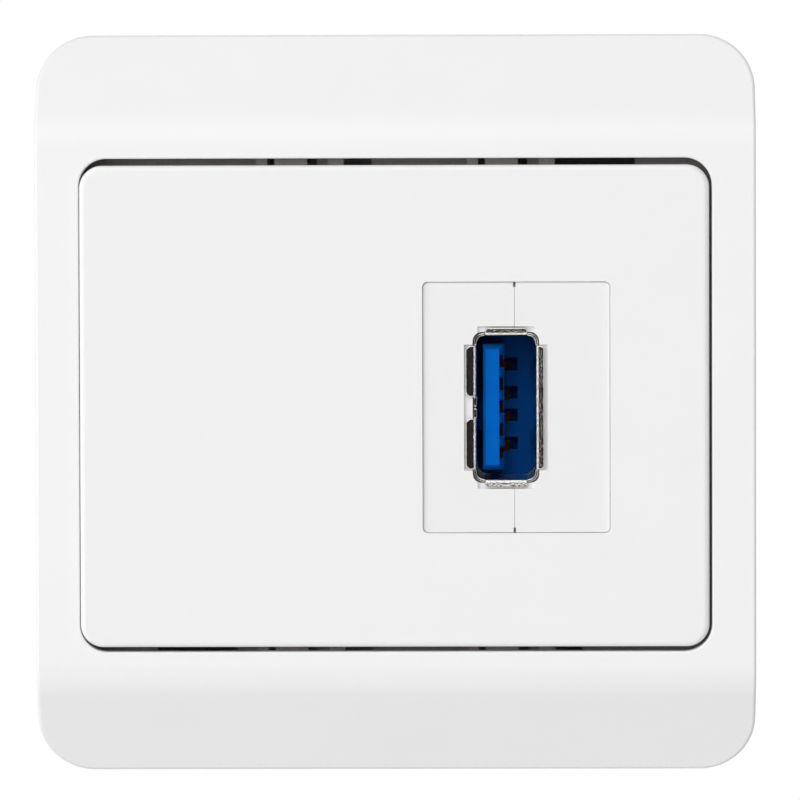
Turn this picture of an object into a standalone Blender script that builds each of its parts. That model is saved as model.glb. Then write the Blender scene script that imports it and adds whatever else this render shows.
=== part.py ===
"""Wall data socket with a USB-A coupler, modelled in metres.

The wall is the plane y = 0 and the socket faces -Y, with +Z up. The origin is
the middle of the frame on the wall plane. Depths are y values, so a piece in
front of another has the smaller value.
"""

import math

import bmesh
import bpy

OBJECT_NAME = "usb_data_socket"

# Clearances and counts that serve the whole socket

SEAT_GAP = 0.0003
FINE_GAP = 0.0001
CUT_OVERRUN = 0.001
EMBED = 0.0004
CORNER_STEPS = 10
SMALL_CORNER_STEPS = 4
SMOOTH_ANGLE = math.radians(32.0)
FACES_SIDEWAYS = 0.05

# Surround frame: flat in the middle, with bands that slope back above and below

FRAME_WIDTH = 0.0630
FRAME_HEIGHT = 0.0648
FRAME_DEPTH = 0.0100
FRAME_WALL = 0.0018
FRAME_CORNER_RADIUS = 0.0048
FRAME_SIDE_BORDER = 0.00385
FRAME_BAND_BORDER = 0.010825
FRAME_SLOPE_HEIGHT = 0.0083
FRAME_EDGE_DEPTH = 0.0040
FRAME_BEND_HALF = 0.0015
FRAME_BEND_STEPS = 6
FRAME_RIM_ROUND = 0.0003
FRAME_RIM_STEPS = 3
OPENING_RADIUS = 0.0024
OPENING_LIP_ROUND = 0.00018
OPENING_LIP_STEPS = 3

# Frame prongs, which pass through the support plate

PRONG_WIDTH = 0.0040
PRONG_THICKNESS = 0.0016
PRONG_BARB = 0.0007
PRONG_BARB_LENGTH = 0.0016
PRONG_SPACING = 0.0380
PRONG_FROM_EDGE = 0.0069

# Cover plate, a little proud of the frame and sitting low in its opening

PLATE_SIDE_GAP = 0.00015
PLATE_END_GAP = 0.00052
PLATE_SHIFT_X = -0.00009
PLATE_SHIFT_Z = -0.00008
PLATE_PROUD = 0.0004
PLATE_THICKNESS = 0.0018
PLATE_SKIRT = 0.0005
PLATE_SKIRT_WALL = 0.0011
PLATE_CORNER_RADIUS = 0.0020
PLATE_EDGE_ROUND = 0.0005
PLATE_EDGE_STEPS = 3
PLATE_HOOK_WIDTH = 0.0030
PLATE_HOOK_THICKNESS = 0.0012
PLATE_HOOK_BARB = 0.0005
PLATE_HOOK_BARB_LENGTH = 0.0012
PLATE_HOOK_SPACING = 0.0440
PLATE_HOOK_INSET = 0.0035

# Coupler: its face, its body and its latch

COUPLER_FACE_WIDTH = 0.01636
COUPLER_FACE_HEIGHT = 0.02193
COUPLER_X = 0.01057
COUPLER_Z = -0.0002
COUPLER_RECESS = 0.0003
COUPLER_FACE_GAP = 0.00005
COUPLER_FACE_RADIUS = 0.00045
COUPLER_FACE_THICKNESS = 0.0016
COUPLER_EDGE_ROUND = 0.00012
COUPLER_EDGE_STEPS = 2
COUPLER_BODY_WIDTH = 0.0136
COUPLER_BODY_HEIGHT = 0.0162
COUPLER_BODY_RADIUS = 0.0008
COUPLER_WALL = 0.0013
COUPLER_RIB = 0.0012
COUPLER_POCKETS_PER_END = 2
SEAM_SHIFT = -0.00016
SEAM_GAP = 0.00006
SEAM_STEP = 0.0004
SEAM_STEP_DEPTH = 0.001
SEAM_NOTCH_WIDTH = 0.00022
SEAM_NOTCH_HEIGHT = 0.00044
SEAM_NOTCH_DEPTH = 0.0008
LATCH_WIDTH = 0.0064
LATCH_THICKNESS = 0.0007
LATCH_FREE_GAP = 0.0007
LATCH_CATCH = 0.0008
LATCH_CATCH_LENGTH = 0.0018
LATCH_LENGTH = 0.0090
LATCH_ROOT_LENGTH = 0.0015
FOOT_HEIGHT = 0.0013
FOOT_HOOK = 0.0009
FOOT_HOOK_LENGTH = 0.0016
PORT_RECESS_DEPTH = 0.0003
PORT_RECESS_GAP = 0.00007
PORT_RECESS_END_SPREAD = 0.00062
PORT_SHIFT_X = -0.00091
PORT_SHIFT_Z = -0.00002

# Module carrier, the moulded tray behind the cover plate

CARRIER_OVERLAP_X = 0.00105
CARRIER_OVERLAP_Z = 0.0012
CARRIER_THICKNESS = 0.0015
CARRIER_CORNER_RADIUS = 0.0022
CARRIER_RIB_HEIGHT = 0.0008
TRAY_INSET_X = 0.0022
TRAY_INSET_Z = 0.0005
TRAY_WALL = 0.0013
TRAY_RADIUS = 0.0012
TRAY_REACH = 0.0017
TRAY_HOOK_WIDTH = 0.0060
TRAY_HOOK_BARB = 0.0006
TRAY_HOOK_LENGTH = 0.0011
WINDOW_BORDER = 0.0022
WINDOW_RADIUS = 0.0009
GUIDE_RIB = 0.0012
GUIDE_SHORTFALL = 0.0012
POST_WIDTH = 0.0020
POST_HEIGHT = 0.0030
POST_SPACING = 0.0300
RIM_BEAD = 0.0005
CELL_PITCH = 0.01845
CELL_FIRST_X = -0.0122
CELL_COUNT = 2
CELL_RIB = 0.0010
CELL_SLOT_A = 0.0006
CELL_LATCH = 0.0029
CELL_SLOT_B = 0.0008
CELL_STEP = 0.0010
CELL_STOP = 0.0014
CELL_WINDOW = 0.0024
PRY_SLOT_WIDTH = 0.0070
PRY_SLOT_X = 0.0175

# Support plate, stamped steel

SUPPORT_THICKNESS = 0.0010
SUPPORT_RADIUS = 0.0027
SCREW_SLOT_LENGTH = 0.0090
SCREW_SLOT_WIDTH = 0.0036
SCREW_SLOT_FROM_EDGE = 0.0036
TAB_HEIGHT = 0.0120
TAB_LENGTH = 0.0032

# USB-A receptacle, in its own frame: mouth at y = 0, depth along +Y

MOUTH_WIDTH = 0.00512
MOUTH_HEIGHT = 0.0125
SHELL_THICKNESS = 0.00027
SHELL_BEND_RADIUS = 0.0007
SHELL_SEAM = 0.00012
SHELL_CLEARANCE = 0.00007
LIP_PROUD = 0.00015
LIP_BEND_RADIUS = 0.00027
LIP_ANGLE = math.radians(74.0)
LIP_STEPS = 4
LIP_CORNER = 0.00036
LIP_OVERHANG_TONGUE_SIDE = 0.00075
LIP_OVERHANG_OPEN_SIDE = 0.00054
LIP_OVERHANG_ENDS = 0.0005
LIP_LENGTH = 0.00449
LIP_SPLIT = 0.00186
LIP_END_LENGTH = 0.0037
FINGER_CENTRE_Z = 0.0030
FINGER_WIDTH = 0.0016
FINGER_SLOT = 0.00035
FINGER_START = 0.0032
FINGER_LENGTH = 0.0056
FINGER_BEND = 0.00045
FINGER_STEPS = 5
FINGER_TURN = math.radians(120.0)

TONGUE_SIDE_GAP = 0.00056
TONGUE_THICKNESS = 0.00184
TONGUE_WIDTH = 0.0110
TONGUE_SETBACK = 0.0010
TONGUE_CHAMFER = 0.00044
TONGUE_BACK_CHAMFER = 0.00024
BASE_FACE = 0.0095
BASE_LENGTH = 0.0039
BASE_SLOT_WIDTH = 0.0017
BASE_SLOT_HEIGHT = 0.0011
BASE_SLOT_DEPTH = 0.0034

CONTACT_SPACING_INNER = 0.0020
CONTACT_SPACING_OUTER = 0.0070
CONTACT_WIDTH = 0.0009
CONTACT_THICKNESS = 0.00022
CONTACT_DEPTH_IN_TONGUE = 0.0002
CONTACT_START = 0.0040
CONTACT_BULGE = 0.0007
CONTACT_BULGE_LENGTH = 0.0032
CONTACT_BULGE_STEPS = 8
CONTACT_TAIL = 0.0022

FAST_PITCH = 0.0020
FAST_COUNT = 5
FAST_WIDTH = 0.0009
FAST_NOTCH_HEIGHT = 0.0014
FAST_NOTCH_LENGTH = 0.0012
FAST_THICKNESS = 0.0002
FAST_PAD_SETBACK = 0.0009
FAST_PAD_LENGTH = 0.0018
FAST_PAD_SINK = 0.00012
FAST_BACK_SINK = 0.00035

# Circuit board between the two receptacles

BOARD_LENGTH = 0.0058
BOARD_EDGE_GAP = 0.0003
BOARD_END_GAP = 0.0003
BOARD_HOLE_RADIUS = 0.0006
BOARD_HOLE_SPACING = 0.0094
BOARD_HOLE_SIDES = 16

# Depths of the stack, from the front to the wall

FRAME_FRONT = -FRAME_DEPTH
FRAME_INNER_FRONT = FRAME_FRONT + FRAME_WALL
PLATE_FRONT = FRAME_FRONT - PLATE_PROUD
PLATE_BACK = PLATE_FRONT + PLATE_THICKNESS
PLATE_SKIRT_BACK = PLATE_BACK + PLATE_SKIRT
COUPLER_FRONT = PLATE_FRONT + COUPLER_RECESS
COUPLER_FACE_BACK = COUPLER_FRONT + COUPLER_FACE_THICKNESS
RIB_FRONT = max(PLATE_SKIRT_BACK, FRAME_INNER_FRONT) + SEAT_GAP
CARRIER_FRONT = RIB_FRONT + CARRIER_RIB_HEIGHT
CARRIER_BACK = CARRIER_FRONT + CARRIER_THICKNESS
BOSS_FRONT = max(PLATE_BACK, COUPLER_FACE_BACK) + SEAT_GAP
SUPPORT_FRONT = -SUPPORT_THICKNESS
TRAY_BACK = TRAY_REACH
CATCH_FRONT = CARRIER_BACK + SEAT_GAP

# Widths and heights that follow from the frame

OPENING_WIDTH = FRAME_WIDTH - 2 * FRAME_SIDE_BORDER
OPENING_HEIGHT = FRAME_HEIGHT - 2 * FRAME_BAND_BORDER
PLATE_WIDTH = OPENING_WIDTH - 2 * PLATE_SIDE_GAP
PLATE_HEIGHT = OPENING_HEIGHT - 2 * PLATE_END_GAP
CARRIER_WIDTH = OPENING_WIDTH + 2 * CARRIER_OVERLAP_X
CARRIER_HEIGHT = OPENING_HEIGHT + 2 * CARRIER_OVERLAP_Z
TRAY_WIDTH = PLATE_WIDTH - 2 * TRAY_INSET_X
TRAY_HEIGHT = PLATE_HEIGHT - 2 * TRAY_INSET_Z
SUPPORT_WIDTH = FRAME_WIDTH - 2 * FRAME_WALL - 2 * SEAT_GAP
SUPPORT_HEIGHT = FRAME_HEIGHT - 2 * FRAME_WALL - 2 * SEAT_GAP
SUPPORT_WINDOW_WIDTH = TRAY_WIDTH + 2 * SEAT_GAP
SUPPORT_WINDOW_HEIGHT = TRAY_HEIGHT + 2 * SEAT_GAP
WINDOW_WIDTH = COUPLER_BODY_WIDTH + 2 * SEAT_GAP
WINDOW_HEIGHT = COUPLER_BODY_HEIGHT + 2 * FOOT_HEIGHT + 2 * SEAT_GAP
PRONG_Z = FRAME_HEIGHT / 2 - PRONG_FROM_EDGE
SEAM_X = COUPLER_X + SEAM_SHIFT
PORT_X = COUPLER_X + PORT_SHIFT_X
PORT_Z = COUPLER_Z + PORT_SHIFT_Z
SHELL_OUTER_WIDTH = MOUTH_WIDTH + 2 * SHELL_THICKNESS
SHELL_OUTER_HEIGHT = MOUTH_HEIGHT + 2 * SHELL_THICKNESS
CAVITY_WIDTH = SHELL_OUTER_WIDTH + 2 * SHELL_CLEARANCE
CAVITY_HEIGHT = SHELL_OUTER_HEIGHT + 2 * SHELL_CLEARANCE

# Places inside a receptacle

LIP_TO_MIDDLE = SHELL_THICKNESS / 2 * (1 - math.cos(LIP_ANGLE))
LIP_REACH_TONGUE_SIDE = LIP_OVERHANG_TONGUE_SIDE + LIP_TO_MIDDLE
LIP_REACH_OPEN_SIDE = LIP_OVERHANG_OPEN_SIDE + LIP_TO_MIDDLE
LIP_REACH_ENDS = LIP_OVERHANG_ENDS + LIP_TO_MIDDLE
LIP_OVERHANG_SIDES = max(LIP_OVERHANG_TONGUE_SIDE, LIP_OVERHANG_OPEN_SIDE)

TONGUE_BACK_X = -MOUTH_WIDTH / 2 + TONGUE_SIDE_GAP
TONGUE_FACE_X = TONGUE_BACK_X + TONGUE_THICKNESS
BASE_BACK = BASE_FACE + BASE_LENGTH
SHELL_LENGTH = BASE_BACK
CONTACT_X = TONGUE_FACE_X - CONTACT_DEPTH_IN_TONGUE - CONTACT_THICKNESS / 2
FAST_PAD_X = TONGUE_FACE_X - FAST_PAD_SINK - FAST_THICKNESS / 2
FAST_BACK_X = TONGUE_BACK_X + FAST_BACK_SINK + FAST_THICKNESS / 2
FAST_PAD_START = TONGUE_SETBACK + FAST_PAD_SETBACK
FAST_CROSS = FAST_PAD_START + FAST_PAD_LENGTH
TAIL_END = BASE_BACK + CONTACT_TAIL

# Length of the coupler, which holds two receptacles with the board between them

MOUTH_FRONT_Y = COUPLER_FRONT - LIP_PROUD
COUPLER_MIDDLE = MOUTH_FRONT_Y + BASE_BACK + BOARD_END_GAP + BOARD_LENGTH / 2
MOUTH_REAR_Y = 2 * COUPLER_MIDDLE - MOUTH_FRONT_Y
COUPLER_BACK = MOUTH_REAR_Y - LIP_PROUD

# Faces of the board, between the two rows of contact tails

BOARD_FACE_OPEN_SIDE = CONTACT_X - CONTACT_THICKNESS / 2 - FINE_GAP
BOARD_FACE_TONGUE_SIDE = FAST_BACK_X + FAST_THICKNESS / 2 + FINE_GAP


for stale in list(bpy.data.objects):
    bpy.data.objects.remove(stale, do_unlink=True)

parts = bpy.data.collections.new(OBJECT_NAME)
cutters = bpy.data.collections.new(OBJECT_NAME + "_cutters")
bpy.context.scene.collection.children.link(parts)
bpy.context.scene.collection.children.link(cutters)


def make_material(name, colour, roughness, metallic=0.0):
    """A Principled material with the piece's colour and finish."""
    material = bpy.data.materials.new(name)
    material.use_nodes = True
    shader = material.node_tree.nodes["Principled BSDF"]
    shader.inputs["Base Color"].default_value = (*colour, 1.0)
    shader.inputs["Roughness"].default_value = roughness
    shader.inputs["Metallic"].default_value = metallic
    return material


FRAME_WHITE = make_material("frame_white_abs", (0.86, 0.86, 0.85), 0.45)
PLATE_WHITE = make_material("plate_white_abs", (0.88, 0.88, 0.87), 0.42)
COUPLER_WHITE = make_material("coupler_white_abs", (0.84, 0.84, 0.83), 0.38)
CARRIER_GREY = make_material("carrier_grey_nylon", (0.07, 0.068, 0.07), 0.6)
ZINC_STEEL = make_material("zinc_plated_steel", (0.62, 0.63, 0.64), 0.35, 1.0)
NICKEL_STEEL = make_material("nickel_plated_steel", (0.70, 0.69, 0.66), 0.28, 1.0)
BLUE_PBT = make_material("blue_pbt", (0.0, 0.12, 0.52), 0.4)
CONTACT_ALLOY = make_material("gold_plated_bronze", (0.80, 0.52, 0.26), 0.3, 1.0)
BOARD_GREEN = make_material("green_board_laminate", (0.02, 0.16, 0.06), 0.5)


def place(shape, name, material):
    """Turn a bmesh into a named object of the socket."""
    mesh = bpy.data.meshes.new(name)
    shape.to_mesh(mesh)
    shape.free()
    mesh.shade_smooth()
    mesh.set_sharp_from_angle(angle=SMOOTH_ANGLE)
    piece = bpy.data.objects.new(name, mesh)
    mesh.materials.append(material)
    parts.objects.link(piece)
    return piece


def cutter(shape, name):
    """Turn a bmesh into a guide object that only other pieces' Booleans use."""
    mesh = bpy.data.meshes.new(name)
    shape.to_mesh(mesh)
    shape.free()
    tool = bpy.data.objects.new(name, mesh)
    tool.hide_render = True
    tool.display_type = "WIRE"
    cutters.objects.link(tool)
    return tool


def boolean(piece, tool, operation):
    """Cut the tool from a piece, or join it to the piece."""
    step = piece.modifiers.new(operation.lower() + "_" + tool.name, "BOOLEAN")
    step.operation = operation
    step.object = tool
    step.solver = "EXACT"


def settle(piece):
    """Replace a piece's mesh by its shape after all its modifiers."""
    depsgraph = bpy.context.evaluated_depsgraph_get()
    shaped = bpy.data.meshes.new_from_object(piece.evaluated_get(depsgraph))
    shaped.name = piece.name
    piece.modifiers.clear()
    piece.data = shaped


def rounded_outline(width, height, radius, steps=CORNER_STEPS, centre=(0.0, 0.0)):
    """Points of a rounded rectangle in the XZ plane, anticlockwise from +X."""
    points = []
    corners = ((1, 1), (-1, 1), (-1, -1), (1, -1))
    for quarter, (side_x, side_z) in enumerate(corners):
        middle_x = centre[0] + side_x * (width / 2 - radius)
        middle_z = centre[1] + side_z * (height / 2 - radius)
        for step in range(steps + 1):
            angle = (quarter + step / steps) * math.pi / 2
            points.append((middle_x + radius * math.cos(angle), middle_z + radius * math.sin(angle)))
    return points


def cross_outline(wide_x, wide_z, tall_x, tall_z, centre):
    """Points of an upright cross, from the half sizes of its wide arm and of its tall arm."""
    quarter = ((wide_x, wide_z), (tall_x, wide_z), (tall_x, tall_z))
    points = []
    for side_x, side_z in ((1, 1), (-1, 1), (-1, -1), (1, -1)):
        turned = quarter if side_x == side_z else tuple(reversed(quarter))
        points += [(centre[0] + side_x * x, centre[1] + side_z * z) for x, z in turned]
    return points


def new_verts(result):
    """The vertices in a bmesh operator's result."""
    return [item for item in result["geom"] if isinstance(item, bmesh.types.BMVert)]


def extrude_face(shape, face, offset):
    """Give a single face a thickness and point all faces outwards."""
    raised = bmesh.ops.extrude_face_region(shape, geom=[face])
    bmesh.ops.translate(shape, verts=new_verts(raised), vec=offset)
    bmesh.ops.recalc_face_normals(shape, faces=shape.faces)


def prism(outline, back, front, shape=None):
    """A flat outline in the XZ plane, drawn from one depth to another."""
    shape = shape or bmesh.new()
    face = shape.faces.new([shape.verts.new((x, back, z)) for x, z in outline])
    extrude_face(shape, face, (0.0, front - back, 0.0))
    return shape


def side_prism(profile, start, end, shape=None):
    """A profile of depth and height points, drawn along X."""
    shape = shape or bmesh.new()
    face = shape.faces.new([shape.verts.new((start, y, z)) for y, z in profile])
    extrude_face(shape, face, (end - start, 0.0, 0.0))
    return shape


def plan_prism(profile, start, end, shape=None):
    """A profile of X and depth points, drawn along Z."""
    shape = shape or bmesh.new()
    face = shape.faces.new([shape.verts.new((x, y, start)) for x, y in profile])
    extrude_face(shape, face, (0.0, 0.0, end - start))
    return shape


def block(span_x, span_y, span_z, shape=None):
    """A box between two values on each axis."""
    shape = shape or bmesh.new()
    made = bmesh.ops.create_cube(shape, size=1.0)
    spans = (span_x, span_y, span_z)
    bmesh.ops.scale(shape, verts=made["verts"], vec=[high - low for low, high in spans])
    bmesh.ops.translate(shape, verts=made["verts"], vec=[(low + high) / 2 for low, high in spans])
    return shape


def around(middle, length):
    """The two ends of a length about its middle."""
    return (middle - length / 2, middle + length / 2)


def loft(sections):
    """A closed solid through sections, each an outline and its depth."""
    shape = bmesh.new()
    rings = [[shape.verts.new((x, depth, z)) for x, z in outline] for outline, depth in sections]
    shape.faces.new(rings[0])
    shape.faces.new(rings[-1])
    for lower, upper in zip(rings, rings[1:]):
        for index, vert in enumerate(lower):
            following = (index + 1) % len(lower)
            shape.faces.new((vert, lower[following], upper[following], upper[index]))
    bmesh.ops.recalc_face_normals(shape, faces=shape.faces)
    return shape


def round_edges(shape, edges, radius, steps):
    """Round the given edges of a bmesh."""
    bmesh.ops.bevel(
        shape,
        geom=edges,
        offset=radius,
        offset_type="OFFSET",
        segments=steps,
        profile=0.5,
        affect="EDGES",
        clamp_overlap=True,
        material=-1,
    )


def rim_edges(shape):
    """The edges between a shape's side walls and its front."""
    found = []
    for edge in shape.edges:
        depths = sorted(face.normal.y for face in edge.link_faces)
        if len(depths) == 2 and depths[0] < -FACES_SIDEWAYS and abs(depths[1]) < FACES_SIDEWAYS:
            found.append(edge)
    return found


def hook_profile(root, seat, tip, plain, hooked, barb):
    """Depth and height points of a leg with one plain side and a barb on the other."""
    profile = [(root, plain), (root, hooked), (seat, hooked)]
    if barb != hooked:
        profile.append((seat, barb))
    return profile + [(tip, hooked), (tip, plain)]


# Surround frame


def frame_slope():
    """How far the bands fall back for each unit of height."""
    return (FRAME_DEPTH - FRAME_EDGE_DEPTH) / FRAME_SLOPE_HEIGHT


def frame_bend(inset):
    """The height at which the flat front turns into a band, at a depth below the skin."""
    slope = frame_slope()
    shift = inset * (math.sqrt(1 + slope * slope) - 1) / slope
    return FRAME_HEIGHT / 2 - FRAME_SLOPE_HEIGHT - shift


def frame_front(height, inset):
    """Depth of the frame's front at a height, or of a surface inset below it."""
    past = abs(height) - frame_bend(inset)
    flat = FRAME_FRONT + inset
    if past <= -FRAME_BEND_HALF:
        return flat
    if past >= FRAME_BEND_HALF:
        return flat + frame_slope() * past
    return flat + frame_slope() * (past + FRAME_BEND_HALF) ** 2 / (4 * FRAME_BEND_HALF)


def frame_form(inset, back):
    """The frame's outer form, or the hollow inside it when inset by its wall."""
    outline = rounded_outline(
        FRAME_WIDTH - 2 * inset,
        FRAME_HEIGHT - 2 * inset,
        FRAME_CORNER_RADIUS - inset,
    )
    shape = prism(outline, back, FRAME_FRONT)
    upwards = (0.0, 0.0, 1.0)
    for step in range(FRAME_BEND_STEPS + 1):
        height = frame_bend(inset) + FRAME_BEND_HALF * (2 * step / FRAME_BEND_STEPS - 1)
        for line in (height, -height):
            geometry = shape.verts[:] + shape.edges[:] + shape.faces[:]
            bmesh.ops.bisect_plane(shape, geom=geometry, plane_co=(0.0, 0.0, line), plane_no=upwards)
    for vert in shape.verts:
        if vert.co.y < (back + FRAME_FRONT) / 2:
            vert.co.y = frame_front(vert.co.z, inset)
    bmesh.ops.recalc_face_normals(shape, faces=shape.faces)
    return shape


def opening_form():
    """The plate's opening, flared at the front to round the frame's edge."""
    def outline(spread):
        return rounded_outline(
            OPENING_WIDTH + 2 * spread,
            OPENING_HEIGHT + 2 * spread,
            OPENING_RADIUS + spread,
        )
    sections = [(outline(0.0), CUT_OVERRUN)]
    for step in range(OPENING_LIP_STEPS + 1):
        angle = math.pi / 2 * step / OPENING_LIP_STEPS
        spread = OPENING_LIP_ROUND * (1 - math.cos(angle))
        sections.append((outline(spread), FRAME_FRONT + OPENING_LIP_ROUND * (1 - math.sin(angle))))
    sections.append((outline(OPENING_LIP_ROUND), FRAME_FRONT - CUT_OVERRUN))
    return loft(sections)


def prong_form():
    """The four barbed prongs that hold the frame on the support plate."""
    shape = bmesh.new()
    for side in (1, -1):
        inner = side * (PRONG_Z - PRONG_THICKNESS / 2)
        outer = side * (PRONG_Z + PRONG_THICKNESS / 2)
        barb = side * (PRONG_Z + PRONG_THICKNESS / 2 + PRONG_BARB)
        root = frame_front(PRONG_Z, FRAME_WALL / 2)
        profile = hook_profile(root, SEAT_GAP, SEAT_GAP + PRONG_BARB_LENGTH, inner, outer, barb)
        for middle in around(0.0, PRONG_SPACING):
            side_prism(profile, *around(middle, PRONG_WIDTH), shape)
    return shape


def build_surround_frame():
    form = frame_form(0.0, 0.0)
    round_edges(form, rim_edges(form), FRAME_RIM_ROUND, FRAME_RIM_STEPS)
    frame = place(form, "surround_frame", FRAME_WHITE)
    boolean(frame, cutter(frame_form(FRAME_WALL, CUT_OVERRUN), "frame_hollow"), "DIFFERENCE")
    boolean(frame, cutter(opening_form(), "frame_opening"), "DIFFERENCE")
    boolean(frame, cutter(prong_form(), "frame_prongs"), "UNION")


# Cover plate


def build_cover_plate():
    centre = (PLATE_SHIFT_X, PLATE_SHIFT_Z)
    outline = rounded_outline(PLATE_WIDTH, PLATE_HEIGHT, PLATE_CORNER_RADIUS, centre=centre)
    form = prism(outline, PLATE_SKIRT_BACK, PLATE_FRONT)
    round_edges(form, rim_edges(form), PLATE_EDGE_ROUND, PLATE_EDGE_STEPS)
    plate = place(form, "cover_plate", PLATE_WHITE)

    pocket = rounded_outline(
        PLATE_WIDTH - 2 * PLATE_SKIRT_WALL,
        PLATE_HEIGHT - 2 * PLATE_SKIRT_WALL,
        PLATE_CORNER_RADIUS - PLATE_SKIRT_WALL,
        SMALL_CORNER_STEPS,
        centre,
    )
    hollow = prism(pocket, PLATE_SKIRT_BACK + CUT_OVERRUN, PLATE_BACK)
    boolean(plate, cutter(hollow, "plate_pocket"), "DIFFERENCE")

    hole = rounded_outline(
        COUPLER_FACE_WIDTH + 2 * COUPLER_FACE_GAP,
        COUPLER_FACE_HEIGHT + 2 * COUPLER_FACE_GAP,
        COUPLER_FACE_RADIUS + COUPLER_FACE_GAP,
        SMALL_CORNER_STEPS,
        (COUPLER_X, COUPLER_Z),
    )
    through = prism(hole, PLATE_SKIRT_BACK + CUT_OVERRUN, PLATE_FRONT - CUT_OVERRUN)
    boolean(plate, cutter(through, "plate_coupler_hole"), "DIFFERENCE")
    boolean(plate, cutter(plate_hook_form(0.0, PLATE_BACK - EMBED), "plate_hooks"), "UNION")


def plate_hook_form(clearance, root):
    """The plate's four hooks, or with a clearance the holes they pass through."""
    shape = bmesh.new()
    leg = PLATE_HEIGHT / 2 - PLATE_HOOK_INSET
    seat = CARRIER_BACK + SEAT_GAP
    tip = seat + PLATE_HOOK_BARB_LENGTH
    for side in (1, -1):
        outer = PLATE_SHIFT_Z + side * (leg + clearance)
        inner = PLATE_SHIFT_Z + side * (leg - PLATE_HOOK_THICKNESS - clearance)
        barb = inner if clearance else inner - side * PLATE_HOOK_BARB
        profile = hook_profile(root, seat, tip, outer, inner, barb)
        for middle in around(PLATE_SHIFT_X, PLATE_HOOK_SPACING):
            side_prism(profile, *around(middle, PLATE_HOOK_WIDTH + 2 * clearance), shape)
    return shape


# Module carrier


def rim_features():
    """Yield each rib and slot of the carrier's rim as its kind, start and end along X."""
    order = (
        ("rib", CELL_RIB),
        ("slot", CELL_SLOT_A),
        ("rib", CELL_LATCH),
        ("slot", CELL_SLOT_B),
        ("flat", CELL_STEP),
        ("rib", CELL_STOP),
        ("slot", CELL_WINDOW),
    )
    for cell in range(CELL_COUNT):
        start = CELL_FIRST_X + cell * CELL_PITCH
        for kind, width in order:
            yield kind, start, start + width
            start += width


def carrier_rib_form():
    """The raised ribs along the top and bottom of the carrier's rim."""
    shape = bmesh.new()
    for side in (1, -1):
        inner = side * TRAY_HEIGHT / 2 - side * TRAY_WALL
        outer = side * CARRIER_HEIGHT / 2 - side * RIM_BEAD
        span_z = (min(inner, outer), max(inner, outer))
        for kind, start, end in rim_features():
            if kind == "rib":
                block((start, end), (RIB_FRONT, CARRIER_FRONT + EMBED), span_z, shape)
    return shape


def carrier_slot_form():
    """The slots through the carrier's rim, with the long pry slot of each edge."""
    shape = bmesh.new()
    span_y = (RIB_FRONT - CUT_OVERRUN, CARRIER_BACK + CUT_OVERRUN)
    for side in (1, -1):
        inner = side * TRAY_HEIGHT / 2
        outer = side * CARRIER_HEIGHT / 2 - side * RIM_BEAD
        span_z = (min(inner, outer), max(inner, outer))
        pry = around(side * PRY_SLOT_X, PRY_SLOT_WIDTH)
        block(pry, span_y, span_z, shape)
        for kind, start, end in rim_features():
            if kind == "slot" and not (start < pry[1] and end > pry[0]):
                block((start, end), span_y, span_z, shape)
    return shape


def carrier_back_form():
    """Posts that stand on the support plate, and hooks on the tray's ends."""
    shape = bmesh.new()
    for side in (1, -1):
        inner = side * (SUPPORT_WINDOW_WIDTH / 2 + SEAT_GAP)
        ends = (inner, inner + side * POST_WIDTH)
        for middle in around(0.0, POST_SPACING):
            span_y = (CARRIER_BACK - EMBED, SUPPORT_FRONT - SEAT_GAP)
            block((min(ends), max(ends)), span_y, around(middle, POST_HEIGHT), shape)
    return shape


def tray_hook_form():
    """The two barbs on the tray's ends that grip the support plate from behind."""
    shape = bmesh.new()
    for side in (1, -1):
        inner = side * (TRAY_WIDTH / 2 - TRAY_WALL / 2)
        outer = side * TRAY_WIDTH / 2
        barb = side * (TRAY_WIDTH / 2 + TRAY_HOOK_BARB)
        profile = [
            (inner, SEAT_GAP),
            (barb, SEAT_GAP),
            (outer, SEAT_GAP + TRAY_HOOK_LENGTH),
            (inner, SEAT_GAP + TRAY_HOOK_LENGTH),
        ]
        plan_prism(profile, *around(0.0, TRAY_HOOK_WIDTH), shape)
    return shape


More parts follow.
